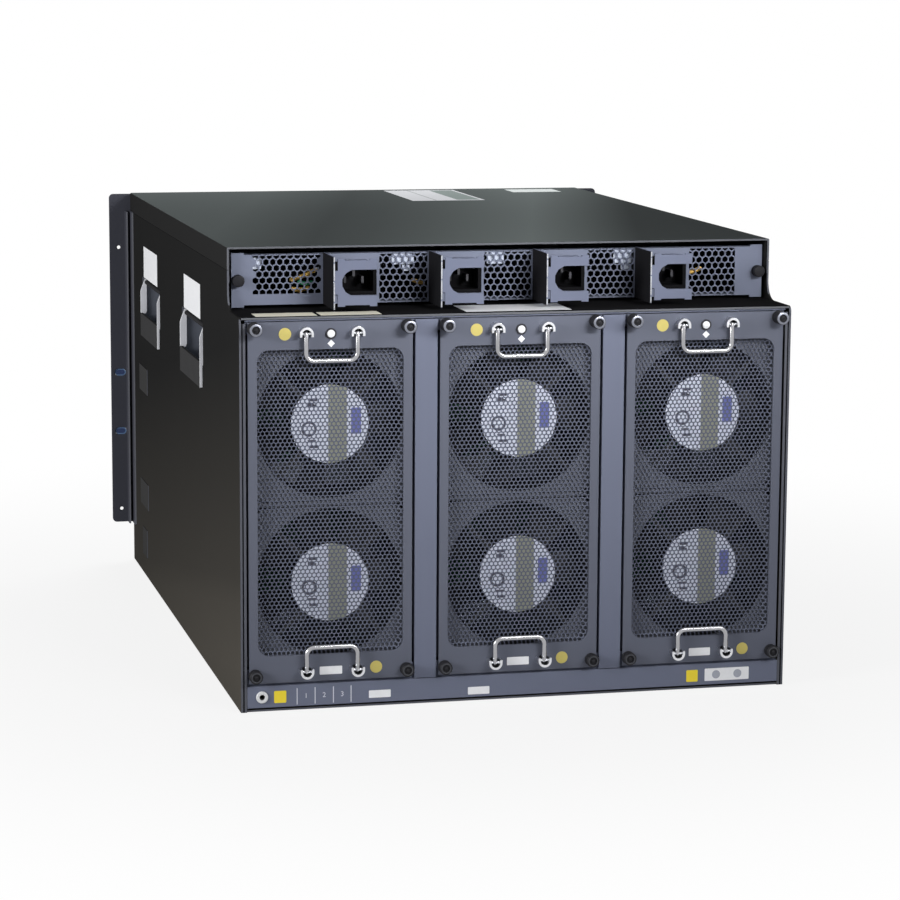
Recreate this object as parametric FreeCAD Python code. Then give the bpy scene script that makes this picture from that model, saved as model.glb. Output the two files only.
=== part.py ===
import FreeCAD, Part
import math
import os

V = FreeCAD.Vector
os.makedirs("parts", exist_ok=True)

# Millimetres. X is the width, -Y the service side with the fans, +Z up.
# The origin is the middle of the underside.

# Case
rack_unit = 44.45
height = 8 * rack_unit
width = 442.0
depth = 626.0
sheet = 1.5
half_width = width / 2
inner_half = half_width - sheet
rear = -depth / 2
front = depth / 2

# Step in the back: the cord ledge in front of the power row
ledge_height = 307.0
ledge_depth = 55.0
ledge_fillet = 15.0
ledge_corner = 4.5
shelf_sheet = 1.6
cover_skirt = 17.5
cover_seam = 0.3
rear_hem = 4.8

# Fan trays
tray_count = 3
tray_pitch = 150.2
tray_width = 128.4
tray_bottom = 22.3
tray_top = 303.3
tray_depth = 150.0
tray_centre_z = (tray_bottom + tray_top) / 2
tray_gap = 1.1
mesh_width = 114.3
mesh_height = 238.0
mesh_corner = 9.0
grille_sheet = 1.0
grille_pitch = 36.0
grille_hole = 31.0

# Fans
fan_size = 119.0
fan_depth = 38.0
fan_pitch = 124.0
fan_offset = 0.4
fan_drop = 2.1
fan_bore_r = 56.5
fan_hub_r = 30.0
fan_front = rear + 6.5
strut_depth = 4.0
blade_count = 7
blade_tip_r = 55.4
rotor_hub_r = 28.5
shaft_r = 2.0
running_gap = 0.05

# Flat sides in place of true rounds, so the packed meshes stay light
rod_sides = 8
pin_sides = 8
post_sides = 10
round_sides = 12

# Tray handles
handle_half = 20.0
upper_reach = 20.9
lower_reach = 19.1
handle_rod_r = 2.0
handle_bend_r = 6.0
handle_off = 4.6
handle_inset = 8.9
ferrule_r = 5.3
ferrule_height = 8.2
ferrule_slot = 7.0
ferrule_pin_r = 1.0

# Captive screws of the trays
screw_side = 4.4
screw_top = 4.6
screw_bottom = 6.5
screw_head_r = 5.2
screw_low_height = 7.6
screw_high_height = 12.5
screw_shank_r = 2.0

# Power row
panel_y = rear + 60.0
panel_sheet = 1.2
panel_bottom = 309.8
panel_top = 349.0
panel_tab_bottom = 308.1
panel_tab_top = 350.5
panel_half = 216.8
panel_tab = 10.0
panel_pitch = 16.5
panel_hole = 13.0
panel_screw_r = 4.7
panel_screw_height = 8.0
bay_count = 4
bay_first = 76.6 - half_width
bay_pitch = 84.7
row_middle = 329.4

# Cord brackets
bracket_width = 34.3
bracket_reach = 42.0
bracket_sheet = 1.2
bracket_wall_bottom = 309.7
bracket_wall_top = 350.3
bracket_plate_bottom = 311.9
bracket_plate_top = 348.5
bracket_tongue_bottom = 321.3
bracket_tongue_top = 339.7
bracket_slot_r = 9.9
bracket_slot_x = 16.8
bracket_z = 330.3

# Power inlets
inlet_x = 25.5
inlet_width = 34.6
inlet_height = 26.6
inlet_depth = 22.0
inlet_wall = 2.8

# Carrying handles in the sides
grip_centres = (rear + 235.8, rear + 486.0)
grip_half = 55.5
grip_bottom = 229.0
grip_top = 250.0
grip_sheet = 2.0
grip_pivot_z = 278.5
grip_pivot_in = 3.5
grip_rod_r = 2.0
cup_half = 57.0
cup_bottom = 233.0
cup_top = 283.5
cup_depth = 17.0
cup_sheet = 1.0

# Rack ears
ear_out = 482.6 / 2
ear_bottom = 36.5
ear_top = 354.6
ear_sheet = 2.0
ear_bolt_x = 465.1 / 2
ear_hole_r = 2.6
ear_hole_z = (49.6, 303.6)
ear_slot_z = (125.8, 182.95)
ear_corner = 4.0
ear_slot_r = 3.5
ear_slot_length = 11.0

# Front side: power supplies above, cards below
card_count = 6
card_bottom = 8.5
card_pitch = 49.2
card_height = 46.8
card_half = 208.0
card_length = 423.9
board_half = 194.0
cage_half = 202.6
card_plugs = (-110.0, 110.0)
supply_width = 105.0
supply_pitch = 109.0
supply_height = 42.0
supply_length = 350.0
midplane_y = -132.0


def box(x0, x1, y0, y1, z0, z1):
    """Box between two corners."""
    return Part.makeBox(x1 - x0, y1 - y0, z1 - z0, V(x0, y0, z0))


def rod(r, start, end):
    """Round bar from one point to another."""
    run = end - start
    return Part.makeCylinder(r, run.Length, start, run)


def prism(sides, r, start, end, on_flats=False):
    """Bar with a regular outline; r is measured to the corners, or to the flats."""
    run = end - start
    across = V(0, 0, 1) if abs(run.z) < run.Length / 2 else V(1, 0, 0)
    other = run.cross(across).normalize()
    reach = r / math.cos(math.pi / sides) if on_flats else r
    points = []
    for k in range(sides + 1):
        a = 2 * math.pi * (k + 0.5) / sides
        points.append(start + across * (reach * math.cos(a)) + other * (reach * math.sin(a)))
    return Part.Face(Part.makePolygon(points)).extrude(run)


def fuse(shapes):
    """One solid from touching shapes."""
    return shapes[0].multiFuse(shapes[1:]).removeSplitter()


def group(shapes):
    """Separate solids kept in one file."""
    return Part.makeCompound(shapes)


def save(shape, name):
    shape.exportStep("parts/" + name + ".step")


def mirrored(shape):
    """Same shape on the other side of the case."""
    return shape.mirror(V(0, 0, 0), V(1, 0, 0))


def rounded_plate(x0, x1, y0, y1, z0, z1, r):
    """Upright plate across Y with four rounded corners."""
    plate = box(x0, x1, y0, y1, z0, z1)
    corners = [e for e in plate.Edges if abs(e.Vertexes[0].Y - e.Vertexes[-1].Y) > (y1 - y0) / 2]
    return plate.makeFillet(r, corners)


def hex_hole(x, z, across, y0, y1):
    """Six-sided cutter along Y."""
    return prism(6, across / 2, V(x, y0, z), V(x, y1, z), True)


def hex_field(x0, x1, z0, z1, pitch, across, y0, y1):
    """Staggered rows of six-sided holes that fill a rectangle."""
    row_step = pitch * math.sqrt(3) / 2
    rows = int((z1 - z0 - across) / row_step) + 1
    first_row = (z0 + z1 - (rows - 1) * row_step) / 2
    holes = []
    for row in range(rows):
        room = x1 - x0 - across - pitch / 2
        columns = int(room / pitch) + 1
        first = (x0 + x1 - (columns - 1) * pitch - pitch / 2) / 2 + (row % 2) * pitch / 2
        for column in range(columns):
            holes.append(hex_hole(first + column * pitch, first_row + row * row_step, across, y0, y1))
    return holes


def side_outline(x, grow=0.0):
    """Outline of a side with the stepped back, drawn at one X."""
    top = height - cover_skirt - cover_seam
    low = rear + grow
    step = rear + ledge_depth + grow
    r = ledge_fillet
    c = ledge_corner
    k = math.sqrt(0.5)
    corner_mid = V(x, low + c - c * k, ledge_height - c + c * k)
    fillet_mid = V(x, step - r + r * k, ledge_height + r - r * k)
    edges = [
        Part.makeLine(V(x, low, 0), V(x, low, ledge_height - c)),
        Part.Arc(V(x, low, ledge_height - c), corner_mid, V(x, low + c, ledge_height)).toShape(),
        Part.makeLine(V(x, low + c, ledge_height), V(x, step - r, ledge_height)),
        Part.Arc(V(x, step - r, ledge_height), fillet_mid, V(x, step, ledge_height + r)).toShape(),
        Part.makeLine(V(x, step, ledge_height + r), V(x, step, top)),
        Part.makeLine(V(x, step, top), V(x, front - sheet, top)),
        Part.makeLine(V(x, front - sheet, top), V(x, front - sheet, 0)),
        Part.makeLine(V(x, front - sheet, 0), V(x, low, 0)),
    ]
    return Part.Wire(edges)


def grip_window(y):
    """Cutter for the opening over one carrying handle."""
    return box(-half_width - 1, -inner_half + 1, y - cup_half, y + cup_half, cup_bottom, cup_top)


def side_panel():
    """Left side: stepped sheet, rear hem, lap strip under the cover's skirt."""
    skin = Part.Face(side_outline(-half_width)).extrude(V(sheet, 0, 0))
    hem = box(-inner_half, -half_width + rear_hem, rear, rear + sheet, 0, ledge_height - ledge_corner)
    lap_z = height - cover_skirt - cover_seam
    lap = box(-inner_half, -inner_half + 1.2, rear + ledge_depth, front - sheet, lap_z - 10, height - sheet)
    panel = fuse([skin, hem, lap])
    pads = []
    for pad_y, pad_z in ((228.5, 78.0), (228.5, 187.0)):
        pads.append(box(-half_width - 0.6, -half_width, pad_y - 26, pad_y + 26, pad_z - 12, pad_z + 12))
    pads.append(box(-half_width - 0.6, -half_width, 213.0, 242.0, 19.0, 45.0))
    panel = fuse([panel] + pads)
    for y in grip_centres:
        panel = panel.cut(grip_window(y))
    return panel


def top_cover():
    """Flat lid with skirts down both sides and a short lip over the power row."""
    lid = box(-half_width, half_width, rear + ledge_depth, front - sheet, height - sheet, height)
    long_edges = [e for e in lid.Edges if abs(e.Vertexes[0].Y - e.Vertexes[-1].Y) > depth / 2
                  and e.Vertexes[0].Z > height - sheet / 2]
    lid = lid.makeFillet(1.2, long_edges)
    skirt = box(-half_width, -inner_half, rear + ledge_depth, front - sheet,
                height - cover_skirt, height - sheet)
    return fuse([lid, skirt, mirrored(skirt)])


def base_pan():
    """Floor sheet with edges turned up inside the sides."""
    half = inner_half - 0.2
    floor = box(-half, half, rear + 1.7, front - 1.7, 0, sheet)
    edge = box(-half, -half + 1.2, rear + 1.7, front - 1.7, sheet, 12.0)
    return fuse([floor, edge, mirrored(edge)])


def power_shelf():
    """Sheet that carries the power row; its rear stretch is the cord ledge."""
    half = inner_half - 0.1
    return box(-half, half, rear, front - 8.0, ledge_height - shelf_sheet, ledge_height)


def tray_x(k):
    return (k - (tray_count - 1) / 2) * tray_pitch


def screw_places(k):
    """X and Z of the four captive screws of one tray."""
    x = tray_width / 2 - screw_side
    return [(tray_x(k) + side * x, z) for z in (tray_bottom + screw_bottom, tray_top - screw_top)
            for side in (-1, 1)]


def bottom_rail():
    """Rail under the trays: front face, shelf the trays slide on, lower lip."""
    half = half_width - 5.0
    rail_top = tray_bottom - 2.0
    rail = fuse([
        box(-half, half, rear, rear + sheet, 3.2, rail_top),
        box(-half, half, rear + sheet, rear + tray_depth, rail_top - sheet, rail_top),
        box(-half, half, rear + sheet, rear + 12.0, 3.2, 4.7),
    ])
    x = 16.4 - half_width
    return rail.cut(prism(round_sides, 4.2, V(x, rear - 1, 11.7), V(x, rear + 3, 11.7)))


def tray_post(x):
    """Folded post between two trays: front face and two long guide walls."""
    rail_top = tray_bottom - 2.0
    half = (tray_pitch - tray_width) / 2 - 2.2
    parts = [box(x - half, x + half, rear, rear + sheet, rail_top + 0.5, tray_top)]
    for side in (-1, 1):
        inner = x + side * (half - 1.2)
        outer = x + side * half
        parts.append(box(min(inner, outer), max(inner, outer), rear + sheet, rear + tray_depth,
                         rail_top, tray_top))
    return fuse(parts)


def screw_rail(k, z0, z1):
    """Strip behind one tray's corners that its captive screws go into."""
    post_half = (tray_pitch - tray_width) / 2 - 2.2
    x0 = tray_x(k) - tray_pitch / 2 + post_half if k > 0 else 5.0 - half_width
    x1 = tray_x(k) + tray_pitch / 2 - post_half if k < tray_count - 1 else half_width - 5.0
    y0 = rear + sheet + 1.5
    rail = box(x0, x1, y0, y0 + sheet, z0, z1)
    half = screw_shank_r + 0.1
    for x, z in screw_places(k):
        if z0 < z < z1:
            rail = rail.cut(box(x - half, x + half, y0 - 1, y0 + sheet + 1, z - half, z + half))
    return rail


def rear_frame():
    """Bottom rail, two posts between the trays and the screw rails behind them."""
    parts = [bottom_rail()]
    for k in range(tray_count - 1):
        parts.append(tray_post(tray_x(k) + tray_pitch / 2))
    for k in range(tray_count):
        parts.append(screw_rail(k, tray_bottom - 2.0, tray_bottom + 11.0))
        parts.append(screw_rail(k, tray_top - 9.0, tray_top))
    return group(parts)


def earth_socket():
    """Round wrist-strap socket with a collar in front of the rail."""
    x = 16.4 - half_width
    z = 11.7
    body = fuse([
        prism(round_sides, 4.7, V(x, rear - 1.6, z), V(x, rear, z)),
        prism(round_sides, 4.15, V(x, rear, z), V(x, rear + 14.0, z)),
    ])
    return body.cut(rod(2.0, V(x, rear - 2.0, z), V(x, rear + 12.0, z)))


def rack_ear():
    """Left ear: front plate, leg along the side, stiffening rib."""
    plate = box(-ear_out, -half_width + 1.0, front - sheet, front - sheet + ear_sheet, ear_bottom, ear_top)
    corners = [e for e in plate.Edges if abs(e.Vertexes[0].Y - e.Vertexes[-1].Y) > sheet
               and e.Vertexes[0].X < -ear_out + 1]
    plate = plate.makeFillet(ear_corner, corners)
    leg = box(-half_width - 1.5, -half_width, front - 22.0, front - sheet, ear_bottom, ear_top - 16.0)
    rib = box(-half_width - 5.5, -half_width - 4.0, front - 12.0, front - sheet, ear_bottom, ear_top - 16.0)
    ear = fuse([plate, leg, rib])
    y0 = front - sheet - 1
    y1 = front + ear_sheet
    for z in ear_hole_z:
        ear = ear.cut(rod(ear_hole_r, V(-ear_bolt_x, y0, z), V(-ear_bolt_x, y1, z)))
    reach = ear_slot_length / 2 - ear_slot_r
    for z in ear_slot_z:
        slot = box(-ear_bolt_x - reach, -ear_bolt_x + reach, y0, y1, z - ear_slot_r, z + ear_slot_r)
        for side in (-1, 1):
            end_x = -ear_bolt_x + side * reach
            slot = slot.fuse(rod(ear_slot_r, V(end_x, y0, z), V(end_x, y1, z)))
        ear = ear.cut(slot)
    return ear


def bay_x(k):
    """X of the outer face of one cord bracket's wall."""
    return bay_first + k * bay_pitch


def power_panel():
    """Perforated panel across the power row, with folded edges and end tabs."""
    y0 = panel_y
    y1 = panel_y + panel_sheet
    parts = [box(-panel_half, panel_half, y0, y1, panel_bottom, panel_top)]
    for side in (-1, 1):
        outer = side * panel_half
        inner = side * (panel_half - panel_tab)
        parts.append(box(min(outer, inner), max(outer, inner), y0, y1, panel_tab_bottom, panel_tab_top))
    parts.append(box(-panel_half, panel_half, y1, y1 + 9.0, panel_bottom, panel_bottom + 1.0))
    parts.append(box(-panel_half, panel_half, y1, y1 + 9.0, panel_top - 1.0, panel_top))
    panel = fuse(parts)
    cutters = hex_field(21.0 - half_width, bay_x(0) - 1.0, panel_bottom + 1.2, panel_top - 1.2,
                        panel_pitch, panel_hole, y0 - 1, y1 + 1)
    for k in range(bay_count):
        left = bay_x(k) + inlet_x + inlet_width / 2 + 1.5
        right = left + 38.5
        cutters += hex_field(left, right, panel_bottom + 1.2, panel_top - 1.2,
                             panel_pitch, panel_hole, y0 - 1, y1 + 1)
        middle = bay_x(k) + inlet_x
        cutters.append(box(middle - inlet_width / 2, middle + inlet_width / 2, y0 - 1, y1 + 1,
                           row_middle - inlet_height / 2, row_middle + inlet_height / 2))
    for side in (-1, 1):
        x = side * 212.2
        cutters.append(prism(pin_sides, 2.1, V(x, y0 - 1, row_middle), V(x, y1 + 1, row_middle), True))
    return panel.cut(cutters)


def panel_screw(x):
    """Knurled thumb screw of the power panel."""
    head = prism(round_sides, panel_screw_r, V(x, panel_y - panel_screw_height, row_middle),
                 V(x, panel_y, row_middle))
    shank = prism(pin_sides, 2.0, V(x, panel_y, row_middle), V(x, panel_y + 8.0, row_middle))
    return fuse([head, shank])


def cord_bracket(k):
    """Folded bracket: side wall, tongue, plate with a cord slot, turned edges."""
    x = bay_x(k)
    y0 = panel_y - bracket_reach
    y1 = y0 + bracket_sheet
    wall = box(x, x + bracket_sheet, y0, panel_y, bracket_wall_bottom, bracket_wall_top)
    tongue = box(x, x + 4.0, y0, y1, bracket_tongue_bottom, bracket_tongue_top)
    plate = box(x + 3.3, x + bracket_width, y0, y1, bracket_plate_bottom + 1.0, bracket_plate_top - 1.0)
    low_edge = box(x + 10.5, x + 27.0, y0, y0 + 9.0, bracket_plate_bottom + 1.0, bracket_plate_bottom + 2.2)
    high_edge = box(x + 10.5, x + 27.0, y0, y0 + 9.0, bracket_plate_top - 2.2, bracket_plate_top - 1.0)
    ears = []
    for ear_x in (x + 3.3, x + 28.5):
        ears.append(box(ear_x, ear_x + 5.8, y0, y1, bracket_plate_bottom, bracket_plate_top))
    bracket = fuse([wall, tongue, plate, low_edge, high_edge] + ears)
    slot_x = x + bracket_slot_x
    slot = prism(round_sides, bracket_slot_r, V(slot_x, y0 - 1, bracket_z),
                 V(slot_x, y1 + 1, bracket_z), True)
    mouth = box(slot_x, x + bracket_width + 1, y0 - 1, y1 + 1,
                bracket_z - bracket_slot_r, bracket_z + bracket_slot_r)
    return bracket.cut([slot, mouth])


def power_inlet(k):
    """Recessed appliance inlet with three flat pins."""
    x = bay_x(k) + inlet_x
    half_x = inlet_width / 2 - 0.1
    half_z = inlet_height / 2 - 0.1
    y0 = panel_y - 0.6
    y1 = y0 + inlet_depth
    body = box(x - half_x, x + half_x, y0, y1, row_middle - half_z, row_middle + half_z)
    pocket = box(x - half_x + inlet_wall, x + half_x - inlet_wall, y0 - 1, y1 - 3.0,
                 row_middle - half_z + inlet_wall, row_middle + half_z - inlet_wall)
    upper = [e for e in pocket.Edges if abs(e.Vertexes[0].Y - e.Vertexes[-1].Y) > 5
             and e.Vertexes[0].Z > row_middle]
    body = body.cut(pocket.makeChamfer(4.5, upper))
    pins = []
    for dx, dz in ((-7.0, -2.5), (7.0, -2.5), (0.0, 3.5)):
        pins.append(box(x + dx - 1.0, x + dx + 1.0, y0 + 6.0, y1 - 3.0,
                        row_middle + dz - 2.8, row_middle + dz + 2.8))
    return fuse([body] + pins)


def tray_panel(k):
    """Front plate of a fan tray with a round-cornered window and turned sides."""
    x = tray_x(k)
    half = tray_width / 2
    plate = box(x - half, x + half, rear, rear + sheet, tray_bottom, tray_top)
    returns = []
    for side in (-1, 1):
        outer = x + side * half
        inner = x + side * (half - 1.2)
        returns.append(box(min(outer, inner), max(outer, inner), rear + sheet, rear + 10.0,
                           tray_bottom + 13.0, tray_top - 11.0))
    panel = fuse([plate] + returns)
    window = rounded_plate(x - mesh_width / 2, x + mesh_width / 2, rear - 1, rear + sheet + 1,
                           tray_centre_z - mesh_height / 2, tray_centre_z + mesh_height / 2, mesh_corner)
    panel = panel.cut(window)
    hole = screw_shank_r + 0.1
    for screw_x, z in screw_places(k):
        panel = panel.cut(box(screw_x - hole, screw_x + hole, rear - 1, rear + 2, z - hole, z + hole))
    return panel


def tray_grille(k):
    """Perforated guard sheet behind the window of a tray."""
    x = tray_x(k)
    half = mesh_width / 2 + 3.0
    y0 = rear + sheet
    y1 = y0 + grille_sheet
    guard = box(x - half, x + half, y0, y1, tray_centre_z - mesh_height / 2 - 3.0,
                tray_centre_z + mesh_height / 2 + 3.0)
    holes = hex_field(x - mesh_width / 2, x + mesh_width / 2, tray_centre_z - mesh_height / 2,
                      tray_centre_z + mesh_height / 2, grille_pitch, grille_hole, y0 - 1, y1 + 1)
    return guard.cut(holes)


def tray_housing(k):
    """Open sheet box behind the tray's plate, with two square inlets and a plug."""
    x = tray_x(k)
    half = tray_width / 2 - 1.6
    z0 = tray_bottom + 13.5
    z1 = tray_top - 11.5
    y0 = rear + sheet
    y1 = rear + tray_depth
    shell = box(x - half, x + half, y0, y1, z0, z1)
    shell = shell.cut(box(x - half + 1, x + half - 1, y0 - 1, y1 - 1, z0 + 1, z1 - 1))
    for z in fan_centres():
        shell = shell.cut(box(x - half + 8, x + half - 8, y1 - 3, y1 + 3, z - 52, z + 52))
    plug = box(x - 22, x + 22, y1, y1 + 18.9, tray_centre_z - 5.5, tray_centre_z + 5.5)
    return fuse([shell, plug])


def fan_centres():
    middle = tray_centre_z - fan_drop
    return (middle - fan_pitch / 2, middle + fan_pitch / 2)


def fan_frame(x, z):
    """Square fan frame with its bore, a motor cap and four struts."""
    half = fan_size / 2
    y0 = fan_front
    y1 = y0 + fan_depth
    frame = box(x - half, x + half, y0, y1, z - half, z + half)
    frame = frame.cut(prism(round_sides, fan_bore_r, V(x, y0 - 1, z), V(x, y1 + 1, z), True))
    cap = prism(round_sides, fan_hub_r, V(x, y0, z), V(x, y0 + strut_depth + 2.0, z))
    struts = []
    for n in range(4):
        strut = box(fan_hub_r - 2, fan_bore_r + 2.6, y0, y0 + strut_depth, -1.6, 1.6)
        strut.rotate(V(0, 0, 0), V(0, 1, 0), 90 * n + 45)
        strut.translate(V(x, 0, z))
        struts.append(strut)
    frame = fuse([frame, cap] + struts)
    return frame.cut(prism(pin_sides, shaft_r + running_gap, V(x, y0 + 1.5, z), V(x, y0 + 10, z), True))


def fan_blade(y):
    """Flat pitched blade that widens towards its tip, on the Z axis."""
    root = rotor_hub_r - 3.0
    outline = [V(-10, 0, root), V(10, 0, root), V(16, 0, blade_tip_r - 3.5),
               V(-16, 0, blade_tip_r - 2.5), V(-10, 0, root)]
    blade = Part.Face(Part.makePolygon(outline)).extrude(V(0, 1.6, 0))
    blade.translate(V(0, y - 0.8, 0))
    blade.rotate(V(0, y, 0), V(0, 0, 1), 38)
    return blade


def fan_rotor(x, z):
    """Hub with a shaft and pitched blades."""
    y0 = fan_front + strut_depth + 2.6
    y1 = fan_front + fan_depth - 3.0
    hub = prism(2 * blade_count, rotor_hub_r, V(x, y0, z), V(x, y1, z))
    shaft = prism(pin_sides, shaft_r, V(x, fan_front + 2.0, z), V(x, y0, z))
    blades = []
    for n in range(blade_count):
        blade = fan_blade((y0 + y1) / 2)
        blade.rotate(V(0, 0, 0), V(0, 1, 0), 360 / blade_count * (n + 0.25))
        blade.translate(V(x, 0, z))
        blades.append(blade)
    return fuse([hub, shaft] + blades)


def tray_bail(k, pivot_z, way, reach):
    """Bent rod handle; way is +1 where it stands up and -1 where it hangs."""
    x = tray_x(k)
    y = rear - handle_off
    far = pivot_z + way * reach
    bend = handle_bend_r * 0.6
    left = x - handle_half
    right = x + handle_half
    start = pivot_z - way * handle_rod_r
    path = Part.makePolygon([
        V(left, y, start), V(left, y, far - way * bend), V(left + bend, y, far),
        V(right - bend, y, far), V(right, y, far - way * bend), V(right, y, start),
    ])
    outline = prism(rod_sides, handle_rod_r, V(left, y, start), V(left, y, start + way))
    section = [f for f in outline.Faces if abs(f.CenterOfMass.z - start) < 0.01][0].OuterWire
    bail = path.makePipeShell([section], True, False, 1)
    pin_hole = prism(pin_sides, ferrule_pin_r + running_gap, V(left - 5, y, pivot_z),
                     V(right + 5, y, pivot_z), True)
    return bail.cut(pin_hole)


def ferrule(x, z, way):
    """Post with a slot for the rod and a cross pin."""
    y = rear - handle_off
    post = prism(post_sides, ferrule_r, V(x, rear - ferrule_height, z), V(x, rear, z))
    half = ferrule_slot / 2
    low = min(z - way * 2.8, z + way * 12)
    high = max(z - way * 2.8, z + way * 12)
    post = post.cut(box(x - half, x + half, rear - ferrule_height - 1, rear - 1.6, low, high))
    pin = prism(pin_sides, ferrule_pin_r, V(x - half - 1.0, y, z), V(x + half + 1.0, y, z))
    return fuse([post, pin])


def captive_screw(x, z):
    """Head and a plain shank through the tray's plate; the upper pair is screwed out further."""
    tall = screw_high_height if z > tray_centre_z else screw_low_height
    head = prism(post_sides, screw_head_r, V(x, rear - tall, z), V(x, rear, z))
    shank = prism(6, screw_shank_r, V(x, rear, z), V(x, rear + 5.5, z))
    return fuse([head, shank])


def grip_handle(y):
    """Left carrying handle: flat grip, two hooked legs and the hinge rod."""
    out = -half_width - 0.3 - grip_sheet
    grip = box(out, out + grip_sheet, y - grip_half, y + grip_half, grip_bottom, grip_top)
    pivot_x = -half_width + grip_pivot_in
    leg_in = -half_width + 6.0
    leg_points = [
        V(out, 0, grip_bottom), V(out, 0, 271.0), V(pivot_x - 1.5, 0, grip_pivot_z + 4.0),
        V(pivot_x + 4.5, 0, grip_pivot_z + 4.0), V(leg_in, 0, grip_pivot_z - 3.0),
        V(leg_in, 0, 252.0), V(out + grip_sheet, 0, grip_top - 5.0),
        V(out + grip_sheet, 0, grip_bottom), V(out, 0, grip_bottom),
    ]
    leg = Part.Face(Part.makePolygon(leg_points)).extrude(V(0, grip_sheet, 0))
    near_leg = leg.copy()
    near_leg.translate(V(0, y - grip_half, 0))
    far_leg = leg.copy()
    far_leg.translate(V(0, y + grip_half - grip_sheet, 0))
    hinge_rod = prism(rod_sides, grip_rod_r, V(pivot_x, y - cup_half - 0.8, grip_pivot_z),
                      V(pivot_x, y + cup_half + 0.8, grip_pivot_z))
    return fuse([grip, near_leg, far_leg, hinge_rod])


def grip_cup(y):
    """Pressed cup behind a carrying handle, with holes for the hinge rod."""
    x0 = -inner_half
    x1 = -half_width + cup_depth
    c = cup_sheet
    shell = box(x0, x1 + c, y - cup_half - c, y + cup_half + c, cup_bottom - c, cup_top + c)
    flange = box(x0, x0 + c, y - cup_half - 7, y + cup_half + 7, cup_bottom - 7, cup_top + 7)
    room = box(x0 - 1, x1, y - cup_half, y + cup_half, cup_bottom, cup_top)
    pivot_x = -half_width + grip_pivot_in
    hole = prism(rod_sides, grip_rod_r + running_gap, V(pivot_x, y - cup_half - 5, grip_pivot_z),
                 V(pivot_x, y + cup_half + 5, grip_pivot_z), True)
    return fuse([shell, flange]).cut([room, hole])


def cage_wall():
    """Left wall of the card cage with one guide rail per card."""
    x0 = -cage_half
    wall = box(x0, x0 + 1.2, midplane_y + 8.0, front - 6.0, 6.0, ledge_height - 3.0)
    rails = []
    for n in range(card_count):
        z = card_bottom + n * card_pitch + 6.9
        rails.append(box(x0 + 1.2, x0 + 12.0, midplane_y + 14.0, front - 10.0, z - 2.4, z))
    return fuse([wall] + rails)


def midplane():
    """Circuit board across the case with a socket for each card and tray."""
    board = box(-cage_half + 2.6, cage_half - 2.6, midplane_y, midplane_y + 3.0, 8.0, ledge_height - 3.5)
    for n in range(card_count):
        z = card_bottom + n * card_pitch + 30.0
        if abs(z - tray_centre_z) > 20:
            board = board.cut(box(-190, 190, midplane_y - 1, midplane_y + 4.0, z - 9, z + 9))
    parts = [board]
    for n in range(card_count):
        z = card_bottom + n * card_pitch + 12.0
        for x in card_plugs:
            parts.append(box(x - 30, x + 30, midplane_y + 3.0, midplane_y + 13.0, z - 5, z + 5))
    for k in range(tray_count):
        x = tray_x(k)
        parts.append(box(x - 24, x + 24, midplane_y - 12.0, midplane_y,
                         tray_centre_z - 7.5, tray_centre_z + 7.5))
    return group(parts)


def card(n):
    """Plug-in card: face plate with two ejectors, board and rear plug."""
    z0 = card_bottom + n * card_pitch
    z1 = z0 + card_height
    back = front - card_length
    parts = [
        box(-card_half, card_half, front - 1.5, front, z0, z1),
        box(-board_half, board_half, back, front - 1.5, z0 + 7.0, z0 + 9.0),
    ]
    for x in card_plugs:
        parts.append(box(x - 28, x + 28, back - 8.0, back, z0 + 7.5, z0 + 16.0))
    for side in (-1, 1):
        x = side * (card_half - 9.0)
        lever = box(x - 4.0, x + 4.0, front, front + 16.0, z0 + 8.0, z1 - 8.0)
        lever = lever.cut(box(x - 5.0, x + 5.0, front + 5.0, front + 17.0, z0 + 7.0, z1 - 22.0))
        parts.append(lever)
    return fuse(parts)


def power_supply(n):
    """Power supply: closed box with a recessed grille face and a pull."""
    x = (n - 1.5) * supply_pitch
    half = supply_width / 2
    z0 = ledge_height + 1.0
    z1 = z0 + supply_height
    body = box(x - half, x + half, front - supply_length, front, z0, z1)
    slots = []
    for m in range(4):
        slot_z = z0 + 6.0 + m * 8.0
        slots.append(box(x - half + 8, x + half - 30, front - 2.0, front + 1, slot_z, slot_z + 3.6))
    pull = box(x + half - 20, x + half - 16, front, front + 22.0, z0 + 6, z1 - 6)
    pull = pull.cut(box(x + half - 21, x + half - 15, front - 1, front + 17.0, z0 + 11, z1 - 11))
    return fuse([body.cut(slots), pull])


def save_fan_tray(k):
    """All pieces of one fan tray."""
    name = "tray_" + str(k + 1) + "_"
    x = tray_x(k)
    save(tray_panel(k), name + "panel")
    save(tray_grille(k), name + "grille")
    save(tray_housing(k), name + "housing")
    low, high = fan_centres()
    fan_x = x + fan_offset
    save(group([fan_frame(fan_x, low), fan_frame(fan_x, high)]), name + "fan_frames")
    save(fan_rotor(fan_x, low), name + "lower_rotor")
    save(fan_rotor(fan_x, high), name + "upper_rotor")
    low_pivot = tray_bottom + handle_inset
    high_pivot = tray_top - handle_inset
    save(tray_bail(k, low_pivot, 1, lower_reach), name + "lower_handle")
    save(tray_bail(k, high_pivot, -1, upper_reach), name + "upper_handle")
    posts = []
    for side in (-1, 1):
        posts.append(ferrule(x + side * handle_half, low_pivot, 1))
        posts.append(ferrule(x + side * handle_half, high_pivot, -1))
    save(group(posts), name + "handle_posts")
    save(group([captive_screw(sx, sz) for sx, sz in screw_places(k)]), name + "captive_screws")


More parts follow.
